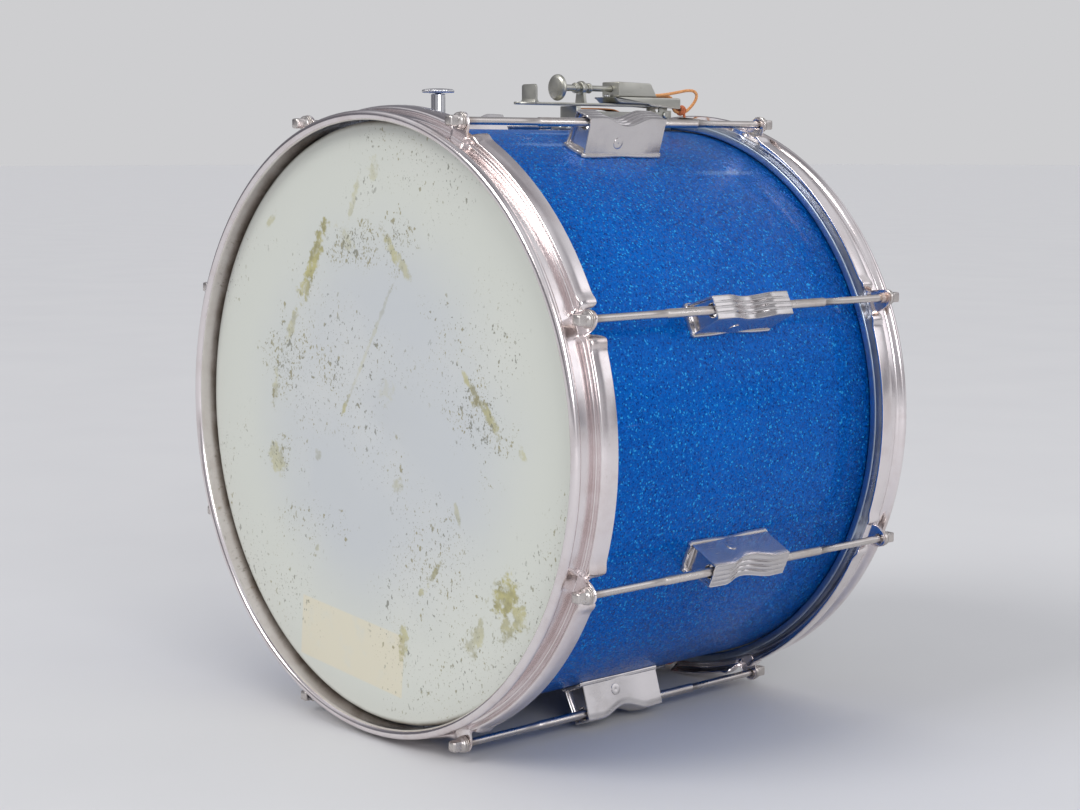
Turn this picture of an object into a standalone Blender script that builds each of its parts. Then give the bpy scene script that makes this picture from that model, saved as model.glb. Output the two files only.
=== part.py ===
"""Parade snare drum, lying on its side with its strainer at the top.

Metres, +Z up. The drum's axis runs along Y and the batter head faces -Y. The origin is on the floor,
under the middle of the drum. Every piece hangs on the empty "drum_axis" at the centre of the shell, so
below that point places are given from the drum's own axis: x across, y along the axis, z up.
"""
from math import cos, pi, radians, sin

import bmesh
import bpy
from mathutils import Matrix, Vector

MM = 0.001
GAP = 0.3 * MM              # between pieces that touch
STEPS = 48                  # sides of every large ring, so that their facets line up

# Shell, wrap and bearing edges
WRAP_R = 178.0 * MM
WRAP_THICK = 0.6 * MM
WRAP_HALF = 121.0 * MM
SHELL_R = WRAP_R - WRAP_THICK - GAP
SHELL_WALL = 5.5 * MM
SHELL_HALF = 127.7 * MM     # crest of the bearing edge
EDGE_BEVEL = 2.4 * MM
RING_WALL = 4.7 * MM        # reinforcement ring glued inside each end
RING_LENGTH = 24.0 * MM

# Heads
FILM_THICK = 0.3 * MM
FILM_Y = SHELL_HALF + GAP + FILM_THICK
FLESH_INNER = 178.9 * MM
FLESH_OUTER = 184.0 * MM
FLESH_TOP = 121.9 * MM
FLESH_HEIGHT = 7.3 * MM

# Triple-flanged counterhoops
SKIRT_R = 192.0 * MM        # also the height of the drum's axis above the floor
SKIRT_EDGE = 112.0 * MM
STEEL = 1.6 * MM
WALL_R = 183.2 * MM         # inner face of the hoop's wall
BEAD_R = 2.9 * MM
CREST_Y = 140.7 * MM
FLANGE_Y = 124.1 * MM       # outer face of the flange that carries the rods
FLANGE_R = 189.2 * MM
EAR_R = 203.3 * MM
FLANGE_UNDER = FLESH_TOP + GAP
EAR_HOLE_R = 3.4 * MM
EAR_SPAN = 3.2              # degrees each way over which an ear is flat and wide

# Lugs and tension rods
LUG_COUNT = 8
FIRST_LUG = 22.5            # degrees from +X towards +Z
ROD_CIRCLE = 196.5 * MM
LUG_HALF = 31.6 * MM
LUG_HEEL = WRAP_R + GAP
PLATE_HALF = 33.3 * MM
PLATE_THICK = 2.2 * MM
SOCKET_MOUTH_R = 4.5 * MM
SOCKET_R = 3.0 * MM
SOCKET_STEP = 25.0 * MM
SOCKET_END = 12.0 * MM
ROD_R = 2.25 * MM
THREAD_R = 2.7 * MM
THREAD_START = 65.6 * MM
ROD_INNER = 13.5 * MM
COLLAR_R = 5.4 * MM
KEY_HALF = 3.1 * MM
ROD_TIP = 134.8 * MM

# Strainer, on the shell at the top
BASE_HALF = 8.0 * MM
BASE_FRONT = 26.0 * MM
BASE_REAR = 112.0 * MM
BASE_WALL = 1.5 * MM
DECK_HALF = 7.0 * MM
DECK_LOW = 193.8 * MM
DECK_TOP = 195.4 * MM
DECK_FRONT = -15.0 * MM
DECK_REAR = 113.0 * MM
PIVOT_Y = 106.0 * MM
PIVOT_Z = 188.5 * MM
PIVOT_R = 1.5 * MM
SCREW_Z = 205.0 * MM        # axis of the thumbscrew
SCREW_R = 1.95 * MM
EAR_Y = 37.0 * MM           # bearing ear of the thumbscrew
SADDLE_FRONT = 57.5 * MM
SADDLE_REAR = 119.0 * MM
SADDLE_TOP = 199.8 * MM
SADDLE_INNER = 8.3 * MM
SADDLE_HALF = 9.7 * MM
BLOCK_FRONT = 63.3 * MM
BLOCK_LOW = SADDLE_TOP + GAP
BLOCK_HIGH = 209.6 * MM
CORD_R = 1.0 * MM

# Snares, butt end, tone control, vent
SNARE_HALF_LENGTH = 167.0 * MM
SNARE_HALF_WIDTH = 13.0 * MM
SNARE_COUNT = 8
STRAND = 1.2 * MM
BUTT_LOW = -181.5 * MM
BUTT_SCREW_X = 10.0 * MM
MUFFLER_Y = -81.0 * MM
MUFFLER_BUSH_R = 4.35 * MM
MUFFLER_PIVOT = (-92.0 * MM, 160.0 * MM)
VENT_R = 4.7 * MM

PARTS = "parade_snare_drum"
TURNS = {"+Y": (-pi / 2, 0, 0), "-Y": (pi / 2, 0, 0), "+Z": (0, 0, 0), "+X": (0, pi / 2, 0),
         "-X": (0, -pi / 2, 0)}


def clear_scene():
    for obj in list(bpy.data.objects):
        bpy.data.objects.remove(obj, do_unlink=True)


def new_collection(name):
    collection = bpy.data.collections.new(name)
    bpy.context.scene.collection.children.link(collection)
    return collection


clear_scene()
parts = new_collection(PARTS)
cutters = new_collection("cutters")
drum_axis = bpy.data.objects.new("drum_axis", None)
drum_axis.location = (0, 0, SKIRT_R)
parts.objects.link(drum_axis)


def finish(name, colour, roughness, metallic):
    """A Principled material in one colour."""
    material = bpy.data.materials.new(name)
    material.use_nodes = True
    shader = material.node_tree.nodes["Principled BSDF"]
    shader.inputs["Base Color"].default_value = (*colour, 1.0)
    shader.inputs["Roughness"].default_value = roughness
    shader.inputs["Metallic"].default_value = metallic
    return material


PLY = finish("birch_ply", (0.55, 0.40, 0.24), 0.6, 0.0)
SPARKLE = finish("blue_sparkle", (0.01, 0.09, 0.42), 0.25, 0.2)
FILM = finish("coated_film", (0.80, 0.82, 0.76), 0.55, 0.0)
CLEAR_FILM = finish("thin_film", (0.82, 0.82, 0.78), 0.35, 0.0)
ALLOY = finish("flesh_hoop_alloy", (0.62, 0.66, 0.72), 0.35, 1.0)
CHROME = finish("hoop_chrome", (0.72, 0.69, 0.68), 0.14, 1.0)
CAST = finish("lug_chrome", (0.66, 0.66, 0.65), 0.22, 1.0)
ROD_STEEL = finish("rod_nickel", (0.62, 0.58, 0.54), 0.3, 1.0)
DULL = finish("strainer_nickel", (0.42, 0.42, 0.38), 0.38, 1.0)
BRASS = finish("spring_brass", (0.70, 0.45, 0.22), 0.35, 1.0)
CORD = finish("tan_cord", (0.72, 0.42, 0.18), 0.8, 0.0)
TIE = finish("orange_cord", (0.60, 0.20, 0.08), 0.8, 0.0)
FELT = finish("grey_felt", (0.45, 0.44, 0.42), 0.95, 0.0)


def hinge(name, location):
    """An empty on a joint's axis, for the pieces that turn about it."""
    empty = bpy.data.objects.new(name, None)
    empty.parent = drum_axis
    empty.location = location
    parts.objects.link(empty)
    return empty


def place(name, mesh, material, location=(0, 0, 0), rotation=(0, 0, 0), parent=drum_axis):
    """Put a mesh on the drum as a named piece. Places stay the drum's own also under a hinge."""
    obj = bpy.data.objects.new(name, mesh)
    parts.objects.link(obj)
    obj.parent = parent
    obj.location = Vector(location) - (Vector() if parent is drum_axis else parent.location)
    obj.rotation_euler = rotation
    if material is not None and not mesh.materials:
        mesh.materials.append(material)
    return obj


def shade(mesh, angle=35):
    mesh.shade_smooth()
    mesh.set_sharp_from_angle(angle=radians(angle))


def mesh_from(bm, name):
    bmesh.ops.recalc_face_normals(bm, faces=bm.faces)
    mesh = bpy.data.meshes.new(name)
    bm.to_mesh(mesh)
    bm.free()
    shade(mesh)
    return mesh


def baked(obj):
    """Replace a piece's mesh, or a curve, by what its modifiers make of it."""
    bpy.context.view_layer.update()
    graph = bpy.context.evaluated_depsgraph_get()
    mesh = bpy.data.meshes.new_from_object(obj.evaluated_get(graph))
    bm = bmesh.new()
    bm.from_mesh(mesh)
    bmesh.ops.remove_doubles(bm, verts=bm.verts, dist=1e-6)
    bmesh.ops.recalc_face_normals(bm, faces=bm.faces)
    bm.to_mesh(mesh)
    bm.free()
    shade(mesh)
    if obj.type == "MESH":
        obj.modifiers.clear()
        obj.data = mesh
        return obj
    name, parent = obj.name, obj.parent
    bpy.data.objects.remove(obj, do_unlink=True)
    return place(name, mesh, None, parent=parent)


def box_mesh(low, high, name="box"):
    bm = bmesh.new()
    size = [h - l for l, h in zip(low, high)]
    middle = [(h + l) / 2 for l, h in zip(low, high)]
    matrix = Matrix.Translation(middle) @ Matrix.Diagonal((*size, 1.0))
    bmesh.ops.create_cube(bm, size=1.0, matrix=matrix)
    return mesh_from(bm, name)


def rod_mesh(start, end, radius, sides=16, name="rod"):
    """A cylinder between two points."""
    start, end = Vector(start), Vector(end)
    axis = end - start
    turn = axis.to_track_quat("Z", "Y").to_matrix().to_4x4()
    bm = bmesh.new()
    bmesh.ops.create_cone(bm, cap_ends=True, segments=sides, radius1=radius, radius2=radius,
                          depth=axis.length, matrix=Matrix.Translation((start + end) / 2) @ turn)
    return mesh_from(bm, name)


def loft_mesh(rings, name, closed=False):
    """Skin through rings of equally many points, end to end, with caps unless the last meets the first."""
    bm = bmesh.new()
    rows = [[bm.verts.new(point) for point in ring] for ring in rings]
    pairs = list(zip(rows, rows[1:] + rows[:1])) if closed else list(zip(rows, rows[1:]))
    for row, following in pairs:
        for k in range(len(row)):
            j = (k + 1) % len(row)
            bm.faces.new((row[k], row[j], following[j], following[k]))
    if not closed:
        bm.faces.new(rows[0])
        bm.faces.new(rows[-1])
    return mesh_from(bm, name)


def turned(name, profile, material, axis="+Y", steps=STEPS, location=(0, 0, 0), parent=drum_axis):
    """Turn a closed profile of (radius, distance along the axis).

    A profile that starts and ends at radius 0 stays open there and closes on the axis.
    """
    on_axis = profile[0][0] == 0 and profile[-1][0] == 0
    loop = profile + ([] if on_axis else profile[:1])
    area = sum(a[0] * b[1] - b[0] * a[1] for a, b in zip(loop, loop[1:]))
    points = profile if area < 0 else profile[::-1]
    mesh = bpy.data.meshes.new(name)
    edges = [(k, k + 1) for k in range(len(points) - 1)]
    if not on_axis:
        edges.append((len(points) - 1, 0))
    mesh.from_pydata([(r, 0, h) for r, h in points], edges, [])
    obj = place(name, mesh, material, location, TURNS[axis], parent)
    screw = obj.modifiers.new("turn", "SCREW")
    screw.steps = screw.render_steps = steps
    screw.use_merge_vertices = True
    screw.merge_threshold = 1e-6
    return baked(obj)


def cut(obj, tools, operation="DIFFERENCE"):
    """Boolean a piece with meshes whose places are the drum's own."""
    for k, mesh in enumerate(tools):
        tool = place(f"{obj.name}_tool_{k}", mesh, None)
        parts.objects.unlink(tool)
        cutters.objects.link(tool)
        tool.hide_render = True
        tool.display_type = "WIRE"
        step = obj.modifiers.new(f"{operation.lower()}_{k}", "BOOLEAN")
        step.operation = operation
        step.object = tool
    return baked(obj)


def strip(name, outline, half_width, material, parent=drum_axis):
    """A flat outline in the plane of Y and Z, as thick as the piece is wide along X."""
    curve = bpy.data.curves.new(name, "CURVE")
    curve.dimensions = "2D"
    curve.fill_mode = "BOTH"
    curve.extrude = half_width
    spline = curve.splines.new("POLY")
    spline.points.add(len(outline) - 1)
    for point, (y, z) in zip(spline.points, outline):
        point.co = (y, z, 0, 1)
    spline.use_cyclic_u = True
    curve.materials.append(material)
    solid = baked(place(name, curve, None, parent=parent))
    solid.data.transform(Matrix(((0, 0, 1, 0), (1, 0, 0, 0), (0, 1, 0, 0), (0, 0, 0, 1))))
    return solid


def smooth_route(points, count):
    """Points spaced evenly along a Catmull-Rom curve through the given ones."""
    knots = [Vector(p) for p in points]
    knots = [2 * knots[0] - knots[1]] + knots + [2 * knots[-1] - knots[-2]]
    fine = []
    for a, b, c, d in zip(knots, knots[1:], knots[2:], knots[3:]):
        for k in range(12):
            t = k / 12
            fine.append(0.5 * (2 * b + (c - a) * t + (2 * a - 5 * b + 4 * c - d) * t ** 2
                               + (3 * b - a - 3 * c + d) * t ** 3))
    fine.append(knots[-2])
    run = [0.0]
    for a, b in zip(fine, fine[1:]):
        run.append(run[-1] + (b - a).length)
    route, k = [], 0
    for step in range(count):
        want = run[-1] * step / (count - 1)
        while k < len(run) - 2 and run[k + 1] < want:
            k += 1
        share = (want - run[k]) / (run[k + 1] - run[k])
        route.append(fine[k].lerp(fine[k + 1], min(share, 1.0)))
    return route


def cord(name, points_mm, radius, count, material):
    """A round cord along a smooth route."""
    curve = bpy.data.curves.new(name, "CURVE")
    curve.dimensions = "3D"
    curve.bevel_depth = radius
    curve.bevel_resolution = 2
    curve.use_fill_caps = True
    route = smooth_route([Vector(p) * MM for p in points_mm], count)
    spline = curve.splines.new("POLY")
    spline.points.add(len(route) - 1)
    for point, place_on_route in zip(spline.points, route):
        point.co = (*place_on_route, 1)
    curve.materials.append(material)
    return baked(place(name, curve, None))


def lug_angles():
    return [FIRST_LUG + 360 / LUG_COUNT * k for k in range(LUG_COUNT)]


def make_shell():
    crest_in = SHELL_R - SHELL_WALL / 2 - 0.5 * MM
    crest_out = SHELL_R - SHELL_WALL / 2 + 0.5 * MM
    inner = SHELL_R - SHELL_WALL
    low = SHELL_HALF - EDGE_BEVEL
    half = [(SHELL_R, low), (crest_out, SHELL_HALF), (crest_in, SHELL_HALF), (inner, low)]
    shell = turned("shell", half + [(r, -h) for r, h in reversed(half)], PLY)
    wrap_in = WRAP_R - WRAP_THICK
    wrap = turned("sparkle_wrap", [(WRAP_R, WRAP_HALF), (wrap_in, WRAP_HALF),
                                   (wrap_in, -WRAP_HALF), (WRAP_R, -WRAP_HALF)], SPARKLE)
    for piece in (shell, wrap):
        stem = rod_mesh((0, MUFFLER_Y, 160 * MM), (0, MUFFLER_Y, 190 * MM), MUFFLER_BUSH_R + 2 * GAP, 12)
        vent = rod_mesh((-160 * MM, 0, 0), (-190 * MM, 0, 0), VENT_R + 2 * GAP, 12)
        cut(piece, [stem, vent])
    ring_out = inner - GAP
    for axis, name in (("-Y", "batter"), ("+Y", "snare")):
        top = SHELL_HALF - EDGE_BEVEL
        turned(f"{name}_reinforcement_ring",
               [(ring_out, top), (ring_out, top - RING_LENGTH), (ring_out - RING_WALL, top - RING_LENGTH),
                (ring_out - RING_WALL, top - 3 * MM)], PLY, axis)


def make_heads():
    for axis, name, film in (("-Y", "batter", FILM), ("+Y", "snare", CLEAR_FILM)):
        under = FILM_Y - FILM_THICK
        foot = FLESH_TOP + GAP
        turned(f"{name}_head_film",
               [(0, FILM_Y), (174.7 * MM, FILM_Y), (177.9 * MM, 127.2 * MM), (181.6 * MM, foot + 0.4 * MM),
                (181.1 * MM, foot), (177.4 * MM, 126.8 * MM), (174.5 * MM, under), (0, under)], film, axis)
        turned(f"{name}_flesh_hoop",
               [(FLESH_OUTER, FLESH_TOP), (FLESH_OUTER, FLESH_TOP - FLESH_HEIGHT),
                (FLESH_INNER, FLESH_TOP - FLESH_HEIGHT), (FLESH_INNER, FLESH_TOP)], ALLOY, axis)


def mix(a, b, t):
    return a + (b - a) * t


def hoop_section(ear, gate):
    """The hoop's closed profile: ear 1 at a tension rod, 0 between; gate 1 where the flange is cut away."""
    outer = WALL_R + STEEL
    bead = WALL_R + BEAD_R - 0.4 * MM
    under = FLANGE_UNDER + 0.3 * MM
    flange = mix(mix(FLANGE_R, EAR_R - 0.8 * MM, ear), outer + 2.1 * MM, gate)
    bend = mix(mix(SKIRT_R - 0.8 * MM, EAR_R, ear), outer + 2.5 * MM, gate)
    skirt = mix(mix(SKIRT_R, EAR_R, ear), outer + 2.5 * MM, gate)
    bend_y = mix(mix(FLANGE_Y - 1.9 * MM, FLANGE_Y - 0.5 * MM, ear), FLANGE_Y - 0.5 * MM, gate)
    edge_y = mix(mix(SKIRT_EDGE, FLANGE_Y - 1.2 * MM, ear), FLANGE_Y - 1.2 * MM, gate)
    inner_y = mix(mix(FLANGE_Y - 2.6 * MM, under, ear), under, gate)
    steel_in = mix(STEEL, 0.7 * MM, max(ear, gate))
    return [(WALL_R, FLANGE_UNDER), (WALL_R, CREST_Y - 2.6 * MM),
            (bead - 1.4 * MM, CREST_Y), (bead + 1.4 * MM, CREST_Y), (bead + BEAD_R, CREST_Y - 2.6 * MM),
            (outer, CREST_Y - 5.6 * MM), (outer, FLANGE_Y + 1.6 * MM),
            (outer + 1.6 * MM, FLANGE_Y), (flange, FLANGE_Y), (bend, bend_y), (skirt, edge_y),
            (skirt - steel_in, edge_y - 0.1 * MM * max(ear, gate)), (bend - steel_in - 0.3 * MM, inner_y)]


def hoop_angles(extra):
    """Degrees round the hoop: the common facets, and closer columns at each rod and each gate's edge."""
    angles = {360 / STEPS * k for k in range(STEPS)}
    for lug in lug_angles():
        angles.update((lug + shift) % 360 for shift in (-EAR_SPAN, EAR_SPAN))
    angles.update(a % 360 for a in extra)
    return sorted(angles)


def hoop_mesh(side, name):
    """One counterhoop. The snare side's flange is cut away at the top, and notched at the bottom."""
    strainer_gate, butt_gate = 90.0, 270.0
    extra = [butt_gate + shift for shift in (-3.2, -2.2, 2.2, 3.2)] if side > 0 else []
    rings = []
    for angle in hoop_angles(extra):
        off = min(abs((angle - lug + 180) % 360 - 180) for lug in lug_angles())
        ear = max(0.0, min(1.0, (7.5 - off) / (7.5 - EAR_SPAN)))
        gate = 0.0
        if side > 0:
            top = abs(angle - strainer_gate)
            bottom = abs(angle - butt_gate)
            gate = max(min(1.0, (20.5 - top) / 7.0), min(1.0, 3.2 - bottom), 0.0)
        a = radians(angle)
        rings.append([(r * cos(a), side * h, r * sin(a)) for r, h in hoop_section(ear, gate)])
    return loft_mesh(rings, name, closed=True)


def make_counterhoops():
    for side, name in ((-1, "batter_hoop"), (1, "snare_hoop")):
        hoop = place(name, hoop_mesh(side, name), CHROME)
        tools = []
        for lug in lug_angles():
            x, z = ROD_CIRCLE * cos(radians(lug)), ROD_CIRCLE * sin(radians(lug))
            tools.append(rod_mesh((x, side * 120 * MM, z), (x, side * 127 * MM, z), EAR_HOLE_R, 8))
        if side > 0:
            tools.append(box_mesh((-15 * MM, 126.5 * MM, 175 * MM), (15 * MM, 133.5 * MM, 192 * MM)))
            tools.append(box_mesh((-7 * MM, 126.5 * MM, -192 * MM), (7 * MM, 133.5 * MM, -175 * MM)))
        cut(hoop, tools)


def lug_height(y):
    """Radius of the casing's outer face along the drum: a hump towards each end and a dip between."""
    dip = 0.5 + 0.5 * cos(pi * min(abs(y) / (17 * MM), 1.0))
    return 203.0 * MM - 4.0 * MM * dip - 0.7 * MM * (abs(y) / LUG_HALF) ** 6


def lug_mesh():
    """Double-ended lug, standing on +Z with its length along Y: foot plate, casing and two sockets."""
    stations = [-LUG_HALF, -15 * MM, 0, 15 * MM, LUG_HALF]
    rings = []
    for y in stations:
        top = lug_height(y)
        rings.append([(-9.2 * MM, y, LUG_HEEL + 0.6 * MM), (-6.9 * MM, y, top - 0.6 * MM),
                      (-6.2 * MM, y, top), (6.2 * MM, y, top), (6.9 * MM, y, top - 0.6 * MM),
                      (9.2 * MM, y, LUG_HEEL + 0.6 * MM)])
    lug = place("lug_form", loft_mesh(rings, "lug"), CAST)
    plate = []
    for share in (-1, -0.5, 0, 0.5, 1):
        half = 10.6 * MM - 0.8 * MM * (0.5 + 0.5 * cos(2 * pi * share))
        half = 10.6 * MM if abs(share) == 1 else half
        y = PLATE_HALF * share
        plate.append([(-half, y, LUG_HEEL), (-half, y, LUG_HEEL + PLATE_THICK),
                      (half, y, LUG_HEEL + PLATE_THICK), (half, y, LUG_HEEL)])
    cut(lug, [loft_mesh(plate, "plate")], "UNION")
    tools = []
    for end in (-1, 1):
        mouth, inside = end * (LUG_HALF + 2 * MM), end * SOCKET_STEP
        tools.append(rod_mesh((0, mouth, ROD_CIRCLE), (0, inside, ROD_CIRCLE), SOCKET_MOUTH_R, 8))
        tools.append(rod_mesh((0, end * (SOCKET_STEP + 1 * MM), ROD_CIRCLE),
                              (0, end * SOCKET_END, ROD_CIRCLE), SOCKET_R + 0.2 * MM, 8))
    mesh = cut(lug, tools).data
    bpy.data.objects.remove(lug, do_unlink=True)
    return mesh


def make_lugs():
    mesh = lug_mesh()
    for k, angle in enumerate(lug_angles()):
        place(f"lug_{k + 1}", mesh, CAST, rotation=(0, radians(90 - angle), 0))


def octagon(radius, y):
    return [(radius * cos(pi / 4 * k), y, radius * sin(pi / 4 * k)) for k in range(8)]


def square(half, y):
    """A square of eight points: its corners and the middles of its sides."""
    ring = []
    for k in range(8):
        c, s = cos(pi / 4 * k), sin(pi / 4 * k)
        reach = half / max(abs(c), abs(s))
        ring.append((reach * c, y, reach * s))
    return ring


def tension_rod_mesh(side):
    """Square key end, washer and collar on the ear, plain shank, and the threaded end in the lug."""
    washer = FLANGE_Y + GAP
    rings = [square(KEY_HALF, side * ROD_TIP), square(KEY_HALF, side * (washer + 2.9 * MM)),
             octagon(COLLAR_R, side * (washer + 2.6 * MM)),
             octagon(COLLAR_R, side * washer), octagon(ROD_R, side * (washer - 0.1 * MM)),
             octagon(ROD_R, side * THREAD_START), octagon(THREAD_R, side * (THREAD_START - 0.6 * MM)),
             octagon(THREAD_R, side * ROD_INNER)]
    return loft_mesh(rings, "tension_rod")


def make_tension_rods():
    for side, head in ((-1, "batter"), (1, "snare")):
        mesh = tension_rod_mesh(side)
        for k, angle in enumerate(lug_angles()):
            a = radians(angle)
            place(f"{head}_rod_{k + 1}", mesh, ROD_STEEL, (ROD_CIRCLE * cos(a), 0, ROD_CIRCLE * sin(a)))


def make_strainer_base():
    """Open channel on the shell: a tall front wall, low side walls with lobes for the lever's pin."""
    floor = WRAP_R + 0.35 * MM
    base = place("strainer_base", box_mesh((-BASE_HALF, BASE_FRONT, floor),
                                           (BASE_HALF, BASE_REAR, DECK_LOW - 0.4 * MM)), DULL)
    inside = BASE_HALF - BASE_WALL
    wide = BASE_HALF + 1 * MM
    sill, lobe = 190.0 * MM, PIVOT_Z + 2.9 * MM
    cut(base, [box_mesh((-inside, BASE_FRONT + BASE_WALL, floor + BASE_WALL),
                        (inside, BASE_REAR + 1 * MM, 200 * MM)),
               box_mesh((-wide, BASE_FRONT + 2 * BASE_WALL, sill), (wide, 101 * MM, 200 * MM)),
               box_mesh((-wide, 100 * MM, lobe), (wide, BASE_REAR + 1 * MM, 200 * MM)),
               rod_mesh((-wide, PIVOT_Y, PIVOT_Z), (wide, PIVOT_Y, PIVOT_Z), PIVOT_R + 0.2 * MM)])
    turned("lever_pivot_pin",
           [(0, 9.4 * MM), (2.2 * MM, 9.4 * MM), (2.4 * MM, 8.3 * MM), (PIVOT_R, 8.2 * MM),
            (PIVOT_R, -8.2 * MM), (2.4 * MM, -8.3 * MM), (2.2 * MM, -9.4 * MM), (0, -9.4 * MM)],
           DULL, "+X", 12, (0, PIVOT_Y, PIVOT_Z))
    leaf = [(95, 180.3), (78, 184.0), (66, 190.4), (60, 191.6), (31, 191.6)]
    top = [(y, z + 0.8) for y, z in reversed(leaf)]
    strip("strainer_spring", [(y * MM, z * MM) for y, z in leaf + top], 5 * MM, BRASS)


def make_strainer_lever():
    """Deck with its finger tab, the thumbscrew's bearing ear and two ears on the pivot pin."""
    pivot = hinge("lever_hinge", (0, PIVOT_Y, PIVOT_Z))
    lever = place("strainer_lever", box_mesh((-DECK_HALF, DECK_FRONT, DECK_LOW),
                                             (DECK_HALF, DECK_REAR, DECK_TOP)), DULL, parent=pivot)
    post = 4.5 * MM
    thick = 1.2 * MM
    solids = [box_mesh((-DECK_HALF, -7.8 * MM, DECK_TOP - thick), (DECK_HALF, -6.2 * MM, 206.6 * MM)),
              box_mesh((-post, EAR_Y - thick, DECK_TOP - thick), (post, EAR_Y + thick, SCREW_Z)),
              rod_mesh((0, EAR_Y - thick, SCREW_Z), (0, EAR_Y + thick, SCREW_Z), post)]
    for side in (-1, 1):
        xs = sorted((side * 4.9 * MM, side * 6.2 * MM))
        solids.append(box_mesh((xs[0], PIVOT_Y - 3.5 * MM, PIVOT_Z - 2.9 * MM),
                               (xs[1], PIVOT_Y + 3.5 * MM, DECK_LOW + 0.5 * MM)))
    holes = [rod_mesh((0, EAR_Y - 2 * thick, SCREW_Z), (0, EAR_Y + 2 * thick, SCREW_Z), SCREW_R + 0.3 * MM),
             rod_mesh((-8 * MM, PIVOT_Y, PIVOT_Z), (8 * MM, PIVOT_Y, PIVOT_Z), PIVOT_R + 0.2 * MM)]
    cut(lever, solids, "UNION")
    cut(lever, holes)


def make_thumbscrew():
    knob = [(0, 14.2), (5.2, 14.4), (7.9, 15.1), (8.4, 16.1), (7.9, 17.3), (3.2, 18.0), (2.2, 19.5)]
    neck = [(2.2, 31.0), (3.4, 31.1), (3.4, 33.2), (1.95, 33.3), (1.95, 41.8), (3.3, 41.9), (3.3, 44.3)]
    shaft = [(1.95, 44.4), (1.95, 85.4), (1.4, 86.0), (0, 86.0)]
    turned("thumbscrew", [(r * MM, y * MM) for r, y in knob + neck + shaft], DULL, steps=12,
           location=(0, 0, SCREW_Z))


def make_clamp():
    """The carriage: a saddle over the deck, and the block that pinches the snare cord on it."""
    saddle = strip("clamp_saddle", [(SADDLE_FRONT, 194.9 * MM), (SADDLE_FRONT, SADDLE_TOP),
                                    (SADDLE_REAR, SADDLE_TOP), (SADDLE_REAR, 192.5 * MM)],
                   SADDLE_HALF, DULL)
    hollow = box_mesh((-SADDLE_INNER, SADDLE_FRONT - 1 * MM, 190 * MM),
                      (SADDLE_INNER, SADDLE_REAR + 1 * MM, DECK_TOP + 0.6 * MM))
    cut(saddle, [hollow])
    block = strip("clamp_block", [(BLOCK_FRONT, BLOCK_LOW), (BLOCK_FRONT, BLOCK_HIGH),
                                  (92.6 * MM, BLOCK_HIGH - 0.4 * MM), (98.3 * MM, BLOCK_LOW)], 8 * MM, DULL)
    bore = rod_mesh((0, BLOCK_FRONT - 2 * MM, SCREW_Z), (0, 91 * MM, SCREW_Z), SCREW_R + 0.3 * MM)
    groove = box_mesh((-3.2 * MM, 78 * MM, BLOCK_LOW - 1 * MM), (3.2 * MM, 100 * MM, BLOCK_LOW + 2.5 * MM))
    cut(block, [bore, groove])
    turned("clamp_screw", [(0, 1.5 * MM), (1.9 * MM, 1.5 * MM), (2.3 * MM, 1.1 * MM), (2.3 * MM, 0), (0, 0)],
           DULL, "+Z", 12, (0, 60.4 * MM, SADDLE_TOP + GAP))


def make_snares():
    """Strands across the resonant head, their cords, and the pin that the strainer's cord loops round."""
    low, high = FILM_Y + 0.6 * MM, FILM_Y + 1.4 * MM
    snares = place("snare_set", box_mesh((-SNARE_HALF_WIDTH, low, -SNARE_HALF_LENGTH),
                                         (SNARE_HALF_WIDTH, high, SNARE_HALF_LENGTH)), DULL)
    pitch = (2 * SNARE_HALF_WIDTH - STRAND) / (SNARE_COUNT - 1)
    slots = []
    for k in range(SNARE_COUNT - 1):
        left = -SNARE_HALF_WIDTH + STRAND + pitch * k
        slots.append(box_mesh((left, low - 1 * MM, -SNARE_HALF_LENGTH + 9 * MM),
                              (left + pitch - STRAND, high + 1 * MM, SNARE_HALF_LENGTH - 9 * MM)))
    cut(snares, slots)
    place("snare_pin", rod_mesh((0, 124.4 * MM, 193.7 * MM), (0, 132.1 * MM, 193.7 * MM), 1.1 * MM, 12),
          CHROME)
    loop = [(-1.3, 88, 201.25), (-1.3, 95, 201.25), (-1.4, 103, 201.25), (-1.6, 111, 201.2), (-1.6, 117, 201.1),
            (-1.5, 120.9, 200.1), (-1.3, 122.3, 197), (-1.0, 122.5, 193.8), (-0.5, 124.2, 191.3),
            (0.1, 128, 190.5), (0.9, 132.3, 191.2),
            (2.6, 135.8, 194.4), (4.2, 138.6, 198.8), (4.8, 139.0, 202.6), (4.6, 136.2, 205.0),
            (4.0, 130.5, 205.2), (3.0, 123, 204.0), (2.1, 115, 202.7), (1.5, 107, 201.8), (1.3, 100, 201.35),
            (1.3, 93, 201.25), (1.3, 88, 201.25)]
    cord("snare_cord", loop, CORD_R, 34, CORD)
    tie = [(2.6, 128.2, 194.2), (2.7, 128.9, 191.4), (2.4, 129.8, 188), (1.7, 130.6, 183.5), (0.8, 131, 178),
           (0.2, 130.5, 172), (0, 129.6, 167.5)]
    cord("snare_tie", tie, 0.9 * MM, 10, TIE)
    butt = [(0, 129.6, -167.5), (0, 130.5, -172), (0, 131, -178), (0, 130.4, -183.5), (0, 127.6, -187.6),
            (0, 122.8, -189.4), (0, 116.5, -188), (0, 110, -184.8), (0, 104, -183.2), (0, 97, -182.95),
            (0, 90, -182.95)]
    cord("butt_cord", butt, 0.9 * MM, 14, TIE)


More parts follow.
